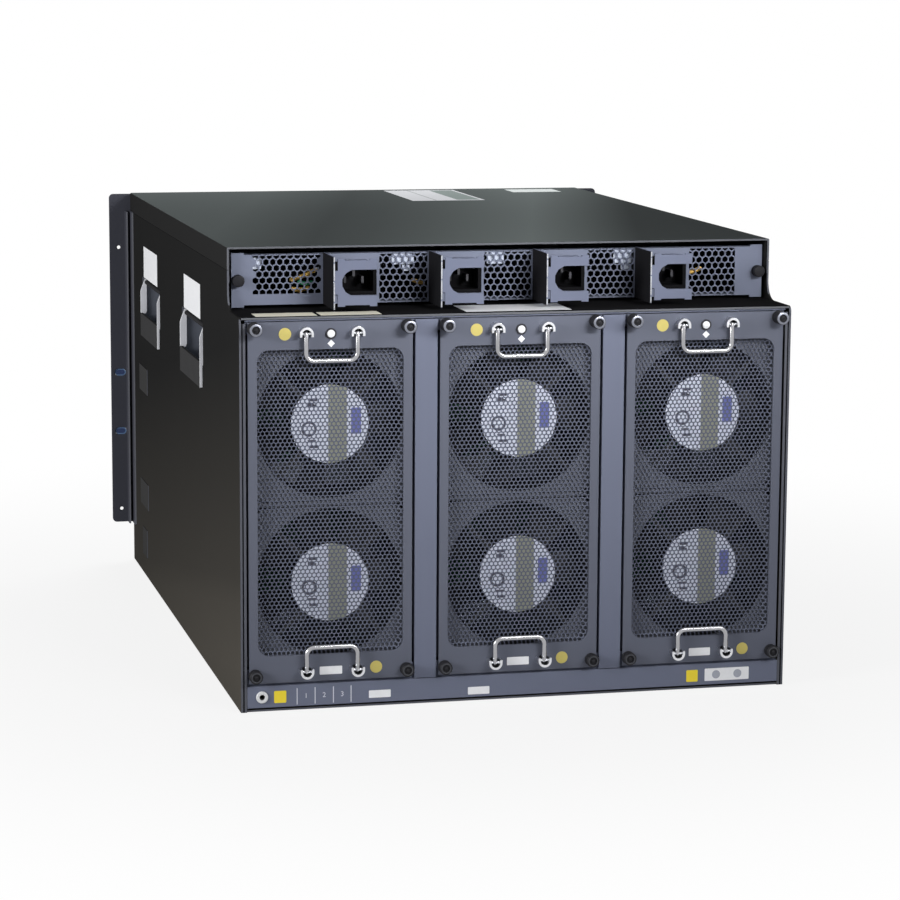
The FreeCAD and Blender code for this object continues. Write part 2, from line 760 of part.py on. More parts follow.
save(base_pan(), "base_pan")
left_side = side_panel()
save(left_side, "left_side_panel")
save(mirrored(left_side), "right_side_panel")
save(top_cover(), "top_cover")
save(power_shelf(), "power_shelf")
save(rear_frame(), "rear_frame")
save(earth_socket(), "earth_socket")
left_ear = rack_ear()
save(left_ear, "left_rack_ear")
save(mirrored(left_ear), "right_rack_ear")
save(power_panel(), "power_panel")
save(group([panel_screw(-212.2), panel_screw(212.2)]), "power_panel_screws")
save(group([cord_bracket(k) for k in range(bay_count)]), "cord_brackets")
save(group([power_inlet(k) for k in range(bay_count)]), "power_inlets")
left_wall = cage_wall()
save(group([left_wall, mirrored(left_wall)]), "card_cage")
save(midplane(), "midplane")
left_cups = group([grip_cup(y) for y in grip_centres])
save(group([left_cups, mirrored(left_cups)]), "handle_cups")
for number, y in enumerate(grip_centres, 1):
    left_grip = grip_handle(y)
    save(left_grip, "left_handle_" + str(number))
    save(mirrored(left_grip), "right_handle_" + str(number))
for n in range(card_count):
    save(card(n), "card_" + str(n + 1))
for n in range(bay_count):
    save(power_supply(n), "power_supply_" + str(n + 1))
for k in range(tray_count):
    save_fan_tray(k)
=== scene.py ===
import math

import bpy
from mathutils import Matrix, Vector, geometry


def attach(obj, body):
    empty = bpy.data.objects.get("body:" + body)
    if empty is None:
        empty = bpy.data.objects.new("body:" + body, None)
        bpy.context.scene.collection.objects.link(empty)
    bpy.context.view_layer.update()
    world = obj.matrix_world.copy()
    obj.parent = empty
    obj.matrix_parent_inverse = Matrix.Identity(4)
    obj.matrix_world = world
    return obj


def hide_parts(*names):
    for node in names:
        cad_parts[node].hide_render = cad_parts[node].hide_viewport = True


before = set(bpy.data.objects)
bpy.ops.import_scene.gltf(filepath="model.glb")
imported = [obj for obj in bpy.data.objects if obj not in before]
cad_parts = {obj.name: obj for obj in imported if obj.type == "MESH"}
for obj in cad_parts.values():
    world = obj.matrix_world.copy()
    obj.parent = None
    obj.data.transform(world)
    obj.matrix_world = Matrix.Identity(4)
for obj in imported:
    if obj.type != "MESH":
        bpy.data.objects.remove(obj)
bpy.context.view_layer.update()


# Case. Folded 1.5 mm sheet steel, powder coated in blue-grey on the rear frame of the service side
# and in near black on the sides, floor, shelf and lid. Faces of the black sheets that look to the
# service side are painted in a lighter blue-grey, painted light from the lamps in front, and faces
# that look left may be painted darker, painted shade. The sides are hemmed at the rear edge, and
# the lid's skirts lap over them.
class Wire:
    """A socket in a shader, so that masks and colours are written as sums."""

    def __init__(self, socket):
        self.socket = socket
        self.tree = socket.id_data

    def join(self, left, right, operation):
        ends = [e.socket if isinstance(e, Wire) else e for e in (left, right)]
        vector = any(getattr(e, "type", "") in ("VECTOR", "RGBA") or isinstance(e, tuple) for e in ends)
        kind = "ShaderNodeVectorMath" if vector else "ShaderNodeMath"
        if vector:
            left, right = [(e,) * 3 if isinstance(e, (int, float)) else e for e in (left, right)]
        return add_node(self.tree, kind, {"operation": operation}, {0: left, 1: right})

    def __add__(self, other):
        return self.join(self, other, "ADD")

    def __radd__(self, other):
        return self.join(other, self, "ADD")

    def __sub__(self, other):
        return self.join(self, other, "SUBTRACT")

    def __mul__(self, other):
        return self.join(self, other, "MULTIPLY")

    def __lt__(self, other):
        return self.join(self, other, "LESS_THAN")

    def __gt__(self, other):
        return self.join(self, other, "GREATER_THAN")

    def apart(self):
        """The X, Y and Z of a vector."""
        split = add_node(self.tree, "ShaderNodeSeparateXYZ", {}, {0: self})
        return [Wire(s) for s in split.socket.node.outputs]


def add_node(tree, kind, settings, sockets, output=0):
    """Adds a node, sets it up, then fills its sockets with values or links."""
    node = tree.nodes.new(kind)
    for name, value in settings.items():
        if name == "stops":
            while len(node.color_ramp.elements) < len(value):
                node.color_ramp.elements.new(0.5)
            for stop, (place, shade) in zip(node.color_ramp.elements, value):
                stop.position = place
                stop.color = (shade, shade, shade, 1)
        else:
            setattr(node, name, value)
    for name, value in sockets.items():
        if isinstance(value, Wire):
            tree.links.new(value.socket, node.inputs[name])
        elif isinstance(value, tuple) and node.inputs[name].type == "RGBA":
            node.inputs[name].default_value = value[:3] + (1,)
        else:
            node.inputs[name].default_value = value
    return Wire(node.outputs[output])


def blend(tree, factor, first, second):
    """Mixes two colours."""
    settings = {"data_type": "RGBA"}
    return add_node(tree, "ShaderNodeMix", settings, {0: factor, 6: first, 7: second}, 2)


def new_finish(name):
    """An empty material with its shader, and where a point lies in metres."""
    material = bpy.data.materials.new(name)
    material.use_nodes = True
    tree = material.node_tree
    place = add_node(tree, "ShaderNodeTexCoord", {}, {}, 3)
    return material, tree, tree.nodes["Principled BSDF"], place


def feed(shader, **sockets):
    """Sets or links sockets of the shader, with _ for the spaces in their names."""
    for name, value in sockets.items():
        socket = shader.inputs[name.replace("_", " ")]
        if isinstance(value, Wire):
            shader.id_data.links.new(value.socket, socket)
        elif isinstance(value, tuple) and len(value) == 3:
            socket.default_value = value + (1,)
        else:
            socket.default_value = value


def grain(tree, place, size_mm, detail=2.0):
    """Noise whose lumps are about size_mm across."""
    sockets = {"Vector": place * 1000.0, "Scale": 1 / size_mm, "Detail": detail}
    return add_node(tree, "ShaderNodeTexNoise", {}, sockets)


def bumped(tree, height, depth_mm, strength=1.0, edge_mm=0.0):
    """A normal from a height map, on edges that are rounded by edge_mm."""
    sockets = {"Height": height, "Distance": depth_mm / 1000, "Strength": strength}
    if edge_mm:
        sockets["Normal"] = add_node(tree, "ShaderNodeBevel", {"samples": 4}, {"Radius": edge_mm / 1000})
    return add_node(tree, "ShaderNodeBump", {}, sockets)


hem_from, hem_to = 0.2182, 0.2193
pad_from = 0.2213


def powder_coat(name, colour, shine, edge_mm=0.35, painted_light_rear_colour=None, painted_shade_left_colour=None,
                hem=False, films=(), painted_light_ramp=None, pad_colour=None):
    """Baked powder paint: fine orange peel, slight cloudiness. Faces that look to the
    service side may be painted lighter, painted light, and faces that look to the left
    darker, painted shade; the pads pressed out of the sides may take another shade.
    The hem's seam is a dark line. The painted light ramp is a tint, a direction, a
    shift and the stops of its ramp along that direction, and paints bounce light or
    sheen. Films stuck flat on the top are given as two corners in metres and a tint."""
    material, tree, shader, place = new_finish(name)
    cloud = grain(tree, place, 60, 3)
    speck = grain(tree, place, 0.9, 2)
    lighter = tuple(c * 1.06 for c in colour)
    darker = tuple(c * 0.94 for c in colour)
    paint = blend(tree, cloud * 0.6 + speck * 0.4, darker, lighter)
    facing = add_node(tree, "ShaderNodeTexCoord", {}, {}, 1).apart()
    x, y, z = place.apart()
    # The ramp paints light along a direction, bounce light or sheen: painted light.
    if painted_light_ramp:
        tint, slope, shift, stops = painted_light_ramp
        along = x * slope[0] + y * slope[1] + z * slope[2] + shift
        ramp_light = add_node(tree, "ShaderNodeValToRGB", {"stops": stops}, {"Fac": along})
        paint = blend(tree, ramp_light, paint, tint)
    if pad_colour:
        paint = blend(tree, x * x > pad_from ** 2, paint, pad_colour)
    # Faces that look to the left are painted darker: painted shade.
    if painted_shade_left_colour:
        paint = blend(tree, facing[0] < -0.7, paint, painted_shade_left_colour)
    # Faces that look to the service side are painted lighter: painted light from the lamps in front.
    if painted_light_rear_colour:
        looks = facing[1] < -0.7
        paint = blend(tree, looks, paint, painted_light_rear_colour)
        if hem:
            seam = looks * (x * x > hem_from ** 2) * (x * x < hem_to ** 2)
            paint = blend(tree, seam, paint, (0.004, 0.004, 0.005))
    for x0, x1, y0, y1, tint in films:
        inside = (x > x0) * (x < x1) * (y > y0) * (y < y1) * (facing[2] > 0.7)
        paint = blend(tree, inside, paint, blend(tree, cloud, tuple(c * 0.9 for c in tint), tint))
    feed(shader, Base_Color=paint,
         Roughness=0.46 + cloud * 0.1 + speck * 0.06, Specular_IOR_Level=shine,
         Normal=bumped(tree, grain(tree, place, 0.7, 1), 0.03, 0.35, edge_mm))
    return material


def dress(material, *names):
    """Gives CAD nodes a finish."""
    for name in names:
        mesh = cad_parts[name].data
        mesh.materials.clear()
        mesh.materials.append(material)


service_coat = powder_coat("service_coat", (0.137, 0.152, 0.210), 0.15)
# The sides grow lighter and warmer towards the bottom: painted bounce light from the floor.
side_painted_bounce = ((0.078, 0.072, 0.062), (0.0, 0.57, 3.33), 0.12,
             ((0.07, 1.0), (0.225, 0.77), (0.30, 0.53), (0.53, 0.31), (0.90, 0.0)))
# The hem's face toward the service side is painted lighter: painted light.
side_coat = powder_coat("side_coat", (0.0195, 0.0195, 0.0195), 0.0, hem=True, painted_light_ramp=side_painted_bounce,
                        painted_light_rear_colour=(0.105, 0.110, 0.130), pad_colour=(0.052, 0.052, 0.052))
# Lighter and darker bands across the lid along X: painted sheen.
lid_painted_sheen = ((0.125, 0.142, 0.140), (2.27, -0.62, 0.0), 0.469,
            ((0.07, 0.59), (0.17, 0.39), (0.27, 0.18), (0.37, 0.28), (0.475, 0.485), (0.58, 0.755),
             (0.68, 1.0), (0.78, 0.554), (0.885, 0.01)))
lid_films = ((0.024, 0.093, 0.170, 0.300, (0.60, 0.61, 0.63)),
             (0.068, 0.090, 0.176, 0.294, (0.25, 0.29, 0.28)),
             (0.046, 0.0475, 0.172, 0.298, (0.34, 0.36, 0.36)),
             (0.144, 0.192, 0.260, 0.296, (0.66, 0.70, 0.69)))
# The lid's rear lip is painted lighter, painted light, and its left skirt darker, painted shade.
lid_coat = powder_coat("lid_coat", (0.045, 0.050, 0.050), 0.0, painted_light_ramp=lid_painted_sheen, films=lid_films,
                       painted_light_rear_colour=(0.120, 0.125, 0.140), painted_shade_left_colour=(0.025, 0.025, 0.025))
# The shelf's edge toward the service side is painted lighter: painted light.
shelf_coat = powder_coat("shelf_coat", (0.012, 0.012, 0.013), 0.0, painted_light_rear_colour=(0.130, 0.136, 0.150))
dress(side_coat, "left_side_panel", "right_side_panel", "base_pan")
dress(shelf_coat, "power_shelf")
dress(lid_coat, "top_cover")
dress(service_coat, "rear_frame")


# Handle cups. Pressed cups of bare galvanised sheet behind four windows in the sides, in
# which the carrying handles hang. Their zinc is painted darker, painted shade inside the pockets.
def plated_steel(name, colour, rough, metal=1.0):
    """Plated steel with a fine grain and duller clouds."""
    material, tree, shader, place = new_finish(name)
    cloud = grain(tree, place, 14, 3)
    drawn = grain(tree, place, 0.5, 2)
    darker = tuple(c * 0.8 for c in colour)
    feed(shader, Base_Color=blend(tree, cloud, darker, colour), Metallic=metal,
         Roughness=rough + (cloud - 0.5) * 0.16 + (drawn - 0.5) * 0.1,
         Normal=bumped(tree, drawn, 0.01, 0.3, 0.25))
    return material


bare_zinc = plated_steel("bare_zinc", (0.46, 0.48, 0.53), 0.42)
# Darker copy of the bare zinc: painted shade inside the handle pockets.
cup_zinc_shaded = plated_steel("cup_zinc_shaded", (0.16, 0.175, 0.21), 0.5, 0.5)
dress(cup_zinc_shaded, "handle_cups")


# Rack ears. Two 2 mm angle plates with a stiffening rib, powder coated in dark blue-grey,
# with round and slotted holes at the rack's pitch. Their legs are fixed to the sides.
ear_coat = powder_coat("ear_coat", (0.054, 0.056, 0.070), 0.05, 0.6)
dress(ear_coat, "left_rack_ear", "right_rack_ear")


# Bottom rail marks. Plain film stickers and white printed lines on the rail under the
# trays, with one plain number for each tray. They lie on the paint.
def tube_faces(rings, sides):
    """Faces between rings of points, and the two ends last."""
    faces = []
    for a in range(0, (rings - 1) * sides, sides):
        faces += [[a + k, a + (k + 1) % sides, a + sides + (k + 1) % sides, a + sides + k]
                  for k in range(sides)]
    faces.append(list(range(sides))[::-1])
    faces.append([(rings - 1) * sides + k for k in range(sides)])
    return faces


class Shape:
    """A mesh in the making, in millimetres of the object's own frame."""

    def __init__(self):
        self.points = []
        self.faces = []

    def add(self, points, faces):
        start = len(self.points)
        self.points += [tuple(p) for p in points]
        self.faces += [[start + i for i in face] for face in faces]

    def block(self, low, high, chamfer=0.0):
        """Box with chamfered corners along Y, for plates that face the service side."""
        (x0, y0, z0), (x1, y1, z1) = low, high
        c = chamfer
        outline = [(x0 + c, z0), (x1 - c, z0), (x1, z0 + c), (x1, z1 - c),
                   (x1 - c, z1), (x0 + c, z1), (x0, z1 - c), (x0, z0 + c)]
        if not c:
            outline = [(x0, z0), (x1, z0), (x1, z1), (x0, z1)]
        self.slab(outline, y0, y1)

    def slab(self, outline, y0, y1):
        """Outline in X and Z, made solid from y0 to y1."""
        n = len(outline)
        points = [(x, y0, z) for x, z in outline] + [(x, y1, z) for x, z in outline]
        faces = [list(range(n)), list(range(2 * n - 1, n - 1, -1))]
        faces += [[k, n + k, n + (k + 1) % n, (k + 1) % n] for k in range(n)]
        self.add(points, faces)

    def turned(self, profile, centre, sides=32, flute=0.0, axis="y"):
        """Turns (radius, along) pairs round an axis; flute cuts grooves where it is asked."""
        turn = {"y": lambda r, a, t: (r * math.cos(t), a, r * math.sin(t)),
                "x": lambda r, a, t: (a, r * math.cos(t), r * math.sin(t))}[axis]
        points = []
        for step in profile:
            r, along = step[:2]
            for k in range(sides):
                cut = flute if len(step) > 2 and k % 2 else 0.0
                p = turn(r - cut, along, 2 * math.pi * k / sides)
                points.append([a + b for a, b in zip(p, centre)])
        self.add(points, tube_faces(len(profile), sides))

    def place(self, name, finish, body, slot=None, stands_for=(), smooth=True):
        """Turns the shape into a piece that rides on a CAD body."""
        mesh = bpy.data.meshes.new(name)
        mesh.from_pydata([Vector(p) / 1000 for p in self.points], [], self.faces)
        mesh.materials.append(finish)
        if smooth:
            mesh.shade_smooth()
            mesh.set_sharp_from_angle(angle=math.radians(38))
        piece = bpy.data.objects.new(name, mesh)
        bpy.context.scene.collection.objects.link(piece)
        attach(piece, body)
        if stands_for:
            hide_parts(*stands_for)


def sticker_stock(name, colour):
    """Printed film: slight print mottle, satin surface."""
    material, tree, shader, place = new_finish(name)
    mottle = grain(tree, place, 2.5, 3)
    darker = tuple(c * 0.9 for c in colour)
    feed(shader, Base_Color=blend(tree, mottle, darker, colour), Roughness=0.5 + mottle * 0.1,
         Normal=bumped(tree, grain(tree, place, 1.2, 1), 0.01, 0.2))
    return material


left_edge = -221.0
rear_face = -313.0
sticker = 0.12
ink = 0.04
# X from the left edge, Z, half width and half height
white_places = ((109.6, 9.7, 8.7, 3.0), (189.2, 8.2, 8.7, 3.0), (394.5, 11.2, 18.6, 5.1))
square_places = ((30.7, 11.3), (365.3, 10.9))
square_half = 4.8
white_film = sticker_stock("white_film", (0.83, 0.84, 0.86))
yellow_film = sticker_stock("yellow_film", (0.84, 0.66, 0.03))
white_ink = sticker_stock("white_ink", (0.62, 0.64, 0.70))
grey_ink = sticker_stock("grey_ink", (0.36, 0.38, 0.44))

rail_white = Shape()
for label_x, label_z, label_half, label_tall in white_places:
    x = left_edge + label_x
    rail_white.block((x - label_half, rear_face - sticker, label_z - label_tall),
                     (x + label_half, rear_face, label_z + label_tall), 0.4)
rail_white.place("rail_white_stickers", white_film, "chassis", "socket_plastic")
rail_dots = Shape()
for dot_x in (385.5, 403.5):
    rail_dots.turned([(3.4, -0.05), (3.4, 0.0)], (left_edge + dot_x, rear_face - sticker, 11.2), 24)
rail_dots.place("rail_sticker_dots", grey_ink, "chassis", "socket_plastic")
rail_yellow = Shape()
for square_x, square_z in square_places:
    x = left_edge + square_x
    rail_yellow.block((x - square_half, rear_face - sticker, square_z - square_half),
                      (x + square_half, rear_face, square_z + square_half), 0.6)
rail_yellow.place("rail_yellow_stickers", yellow_film, "chassis", "socket_plastic")
rail_lines = Shape()
for line_x in (44.0, 58.2, 72.7, 86.7):
    x = left_edge + line_x
    rail_lines.block((x - 0.35, rear_face - ink, 4.5), (x + 0.35, rear_face, 17.5))
rail_lines.place("rail_lines", white_ink, "chassis", "socket_plastic")
for number, number_x in enumerate((51.1, 65.4, 79.7), 1):
    digit = bpy.data.curves.new("tray_number_%d" % number, "FONT")
    digit.body = str(number)
    digit.size = 0.0055
    digit.align_x = "CENTER"
    digit.align_y = "CENTER"
    digit.extrude = 0.00002
    digit.materials.append(white_ink)
    piece = bpy.data.objects.new(digit.name, digit)
    piece.location = ((left_edge + number_x) / 1000, (rear_face - 0.03) / 1000, 0.0110)
    piece.rotation_euler = (math.pi / 2, 0, 0)
    bpy.context.scene.collection.objects.link(piece)
    bpy.context.view_layer.update()
    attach(piece, "chassis")


# Ear fittings. Dark eyelets line the round ear holes, and blue caps close the slots; the pale
# rim round each cap and the pale strips down the ears' folded edges are painted highlights.
blue_cap = sticker_stock("blue_cap", (0.020, 0.040, 0.120))
# The pale rim stands for the lit inner edge of each slot: painted highlight.
slot_rim_highlight = sticker_stock("slot_rim_highlight", (0.110, 0.200, 0.370))
# Pale strips on the folded edges of the ears: painted highlights.
ear_fold_highlight = sticker_stock("ear_fold_highlight", (0.15, 0.155, 0.18))
ear_face = 311.5
ear_hole_x = 232.55
slot_reach = 2.0
# how far the edge stands out from the side, and its Y
edge_places = ((4.75, 300.96), (0.75, 290.96))
eyelet_profile = [(1.7, 0.2), (2.55, 0.2), (2.55, 1.8), (1.7, 1.8), (1.7, 0.2)]
caps, rims, eyelets, edges = Shape(), Shape(), Shape(), Shape()
for side in (-1, 1):
    x = side * ear_hole_x
    for hole_z in (49.6, 303.6):
        eyelets.turned(eyelet_profile, (x, ear_face, hole_z), 32)
        del eyelets.faces[-2:]
    for slot_z in (125.8, 182.95):
        arc = [math.pi * (k - 8) / 16 for k in range(17)]
        for shape, r, y0, y1 in ((rims, 3.4, 1.0, 1.6), (caps, 2.2, 0.8, 1.0)):
            outline = [(x + slot_reach + r * math.cos(a), slot_z + r * math.sin(a)) for a in arc]
            outline += [(x - slot_reach - r * math.cos(a), slot_z - r * math.sin(a)) for a in arc]
            shape.slab(outline, ear_face + y0, ear_face + y1)
    for out, y in edge_places:
        x = side * (out - left_edge)
        edges.block((x - 0.7, y, 37.0), (x + 0.7, y + ink, 338.0))
caps.place("ear_slot_caps", blue_cap, "chassis", "socket_plastic")
rims.place("ear_slot_rims", slot_rim_highlight, "chassis", "socket_plastic")
eyelets.place("ear_eyelets", ear_coat, "chassis", "plated_steel")
edges.place("ear_fold_highlights", ear_fold_highlight, "chassis", "socket_plastic")


# Wrist-strap socket. A 4 mm banana socket of white moulded plastic with a black inner
# sleeve, pushed through the bottom rail and held by its collar.
def moulded(name, colour, rough, front_colour=None, front_to=0.0, shine=0.4):
    """Injection-moulded plastic with a fine spark-eroded skin. Its front, up to front_to
    in millimetres along Y, may be painted in a lighter shade as painted light."""
    material, tree, shader, place = new_finish(name)
    skin = grain(tree, place, 0.8, 2)
    cloud = grain(tree, place, 25, 2)
    darker = tuple(c * 0.88 for c in colour)
    paint = blend(tree, cloud, darker, colour)
    if front_colour:
        paint = blend(tree, place.apart()[1] < front_to / 1000, paint, front_colour)
    feed(shader, Base_Color=paint, Roughness=rough + skin * 0.12,
         Specular_IOR_Level=shine, Normal=bumped(tree, skin, 0.03, 0.3, 0.2))
    return material


white_plastic = moulded("white_plastic", (0.74, 0.75, 0.76), 0.3)
black_plastic = moulded("black_plastic", (0.014, 0.014, 0.016), 0.42)
socket = Shape()
socket_centre = (left_edge + 16.4, rear_face, 11.7)
socket.turned([(2.1, 11.5), (2.1, -1.2), (2.4, -1.6), (4.2, -1.6), (4.7, -1.1), (4.7, 0.0),
               (4.1, 0.0), (4.1, 13.9), (2.1, 13.9)], socket_centre, 40)
socket.place("wrist_strap_socket", white_plastic, "chassis", None, ["earth_socket"])
sleeve = Shape()
sleeve.turned([(2.1, 13.0), (2.1, -0.9), (2.0, -0.9), (2.0, 0.4), (1.6, 0.6), (1.6, 12.5)], socket_centre, 32)
sleeve.place("wrist_strap_sleeve", black_plastic, "chassis", "socket_plastic")


# Fan trays. Each is a painted front plate with a round-cornered window, a perforated
# guard sheet spot-welded behind it, and a bare zinc box with two axial fans. Bent rods
# on slotted posts pull it out, and four knurled captive screws hold it.
def clipped(outline, low, high):
    """Cuts a convex outline in X and Z down to a rectangle."""
    for axis in (0, 1):
        for limit, side in ((low[axis], 1), (high[axis], -1)):
            kept = []
            for k, here in enumerate(outline):
                before = outline[k - 1]
                inside = (here[axis] - limit) * side
                was_inside = (before[axis] - limit) * side
                if inside * was_inside < 0:
                    share = was_inside / (was_inside - inside)
                    kept.append(tuple(b + (h - b) * share for b, h in zip(before, here)))
                if inside >= 0:
                    kept.append(here)
            outline = kept
    return outline


def perforated(shape, low, high, open_low, open_high, y0, y1, pitch, hole):
    """Sheet across Y with staggered six-sided holes, whose edges share their corners."""
    known = {}

    def corner(x, z, y):
        key = (round(x, 3), round(z, 3), y)
        if key not in known:
            known[key] = len(shape.points)
            shape.points.append((x, y, z))
        return known[key]

    row_step = pitch * math.sqrt(3) / 2
    turns = [(math.cos(math.radians(30 + 60 * k)), math.sin(math.radians(30 + 60 * k))) for k in range(7)]
    outer, inner = pitch / math.sqrt(3), hole / math.sqrt(3)
    middle_x, middle_z = (low[0] + high[0]) / 2, (low[1] + high[1]) / 2
    rows = int((high[1] - low[1]) / row_step / 2) + 2
    columns = int((high[0] - low[0]) / pitch / 2) + 2
    for row in range(-rows, rows + 1):
        z = middle_z + row * row_step
        for column in range(-columns, columns + 1):
            x = middle_x + (column + 0.5 * (row % 2)) * pitch
            rim = [(x + outer * c, z + outer * s) for c, s in turns]
            if open_low[0] < x < open_high[0] and open_low[1] < z < open_high[1]:
                lip = [(x + inner * c, z + inner * s) for c, s in turns]
                patches = [[rim[k], rim[k + 1], lip[k + 1], lip[k]] for k in range(6)]
                for k in range(6):
                    a, b = lip[k], lip[k + 1]
                    if all(low[i] <= p[i] <= high[i] for p in (a, b) for i in (0, 1)):
                        shape.faces.append([corner(*a, y0), corner(*b, y0), corner(*b, y1), corner(*a, y1)])
            else:
                patches = [rim[:6]]
            for patch in patches:
                patch = clipped(patch, low, high)
                if len(patch) > 2:
                    front = [corner(px, pz, y0) for px, pz in patch]
                    back = [corner(px, pz, y1) for px, pz in patch]
                    if len(set(front)) > 2:
                        shape.faces.append(front)
                        shape.faces.append(back[::-1])


def pierced_cap(shape, outer, inner, y, y_floor):
    """Flat face at y with a recess of another outline down to y_floor."""
    start = len(shape.points)
    ring = [Vector((x, z, 0)) for x, z in outer]
    hole = [Vector((x, z, 0)) for x, z in inner]
    shape.points += [(p.x, y, p.y) for p in ring + hole] + [(p.x, y_floor, p.y) for p in hole]
    shape.faces += [[start + i for i in face] for face in geometry.tessellate_polygon([ring, hole])]
    top = start + len(ring)
    n = len(hole)
    shape.faces += [[top + k, top + (k + 1) % n, top + n + (k + 1) % n, top + n + k] for k in range(n)]
    shape.faces.append([top + n + k for k in range(n)])


def circle(x, z, r, sides):
    return [(x + r * math.cos(2 * math.pi * k / sides), z + r * math.sin(2 * math.pi * k / sides))
            for k in range(sides)]


def swept(shape, path, radius, sides=14):
    """Round rod along a path of points, with rounded ends."""
    path = [Vector(p) for p in path]
    first, last = (path[0] - path[1]).normalized(), (path[-1] - path[-2]).normalized()
    rings = [(path[0] + first * radius * math.sin(a), radius * math.cos(a)) for a in (1.5, 1.1, 0.6)]
    rings += [(p, radius) for p in path]
    rings += [(path[-1] + last * radius * math.sin(a), radius * math.cos(a)) for a in (0.6, 1.1, 1.5)]
    side = None
    points = []
    for k, (centre, r) in enumerate(rings):
        ahead = rings[min(k + 1, len(rings) - 1)][0] - rings[max(k - 1, 0)][0]
        ahead.normalize()
        if side is None:
            side = ahead.orthogonal().normalized()
        side = (side - ahead * side.dot(ahead)).normalized()
        up = ahead.cross(side)
        turns = [2 * math.pi * n / sides for n in range(sides)]
        points += [centre + (side * math.cos(t) + up * math.sin(t)) * r for t in turns]
    shape.add(points, tube_faces(len(rings), sides))


def smooth_run(points, steps=8):
    """Points along a smooth line through the given points."""
    points = [Vector(p) for p in points]
    ends = [points[0] * 2 - points[1]] + points + [points[-1] * 2 - points[-2]]
    run = []
    for k in range(1, len(ends) - 2):
        a, b, c, d = ends[k - 1:k + 3]
        for n in range(steps):
            t = n / steps
            run.append(((b * 2) + (c - a) * t + (a * 2 - b * 5 + c * 4 - d) * t * t
                        + (b * 3 - a - c * 3 + d) * t ** 3) / 2)
    return run + [points[-1]]


tray_pitch = 150.2
tray_bottom = 22.3
tray_top = 303.3
tray_middle = (tray_bottom + tray_top) / 2
window_half = 57.15
window_tall = 119.0
window_corner = 9.0
guard_front = rear_face + 1.5
guard_thick = 0.5
guard_dish = 3.4
dish_slope = 4.0
guard_pitch = 3.49
guard_hole = 2.66
guard_lap = 3.0
guard_rim = 1.2
fan_front = rear_face + 6.5
fan_back = fan_front + 38.0
fan_spread = 62.0
fan_aside = 0.4
fan_middle = tray_middle - 1.6
fan_bore = 56.5
frame_half = 59.5
# radius and half width at both ends of a strut
strut_width = ((29.0, 2.6), (57.6, 1.4))
blade_count = 7
blade_root, blade_tip = 27.5, 55.0
disc_r = 30.4
disc_out = 0.8
film = 0.08
# X and Z from the disc's middle, half width and half height
disc_bars = ((-13.4, 19.0, 3.4, 1.2), (-15.0, 15.2, 2.4, 1.4), (-12.0, 14.6, 1.2, 0.8),
             (-14.2, -13.0, 3.2, 0.9), (-13.0, -17.6, 3.4, 0.9))
post_reach = 20.0
post_in = 8.9
post_r = 5.3
post_tall = 8.2
rod_r = 2.0
rod_bend = 6.0
rod_off = 4.6
lower_reach = 19.1
upper_reach = 20.9
screw_r = 5.2
screw_x = 59.8
screw_low, screw_high = tray_bottom + 6.5, tray_top - 4.6
lens_z = tray_top - 9.6
dot_r = 4.8

plate_coat = powder_coat("plate_coat", (0.106, 0.115, 0.150), 0.15)
guard_coat = powder_coat("guard_coat", (0.097, 0.107, 0.148), 0.12, 0.12)
chrome = plated_steel("chrome", (0.42, 0.42, 0.44), 0.2)
ring_chrome = plated_steel("ring_chrome", (0.72, 0.73, 0.76), 0.3)
post_steel = plated_steel("post_steel", (0.52, 0.53, 0.56), 0.28)
screw_black = moulded("screw_black", (0.011, 0.011, 0.014), 0.5, shine=0.2)
screw_face = plated_steel("screw_face", (0.055, 0.057, 0.066), 0.4, 0.7)
# The upper screws' faces are a brighter copy of the same plating: painted reflection.
screw_face_painted_glint = plated_steel("screw_face_painted_glint", (0.21, 0.22, 0.26), 0.34, 0.8)
fan_black = moulded("fan_black", (0.010, 0.010, 0.012), 0.45)
# The fan frames are black; their front faces are painted grey, painted light where the lamps reach them through the
# guard.
fan_lit_front = moulded("fan_lit_front", (0.010, 0.010, 0.012), 0.45, (0.095, 0.102, 0.125), fan_front + 0.9)
disc_white = sticker_stock("disc_white", (0.64, 0.67, 0.78))
disc_olive = sticker_stock("disc_olive", (0.23, 0.24, 0.19))
disc_blue = sticker_stock("disc_blue", (0.11, 0.13, 0.40))
dark_ink = sticker_stock("dark_ink", (0.03, 0.03, 0.05))
pale_yellow = sticker_stock("pale_yellow", (0.58, 0.49, 0.13))
lens_ring = moulded("lens_ring", (0.012, 0.012, 0.018), 0.4)


def dished(shape, x, z):
    """Presses the guard sheet back inside its round-cornered window."""
    for n, (px, py, pz) in enumerate(shape.points):
        dx = abs(px - x) - window_half + window_corner
        dz = abs(pz - z) - window_tall + window_corner
        inside = window_corner - math.hypot(max(dx, 0), max(dz, 0)) - min(max(dx, dz), 0)
        slope = min(max((inside - 0.3) / dish_slope, 0.0), 1.0)
        shape.points[n] = (px, py + guard_dish * slope, pz)


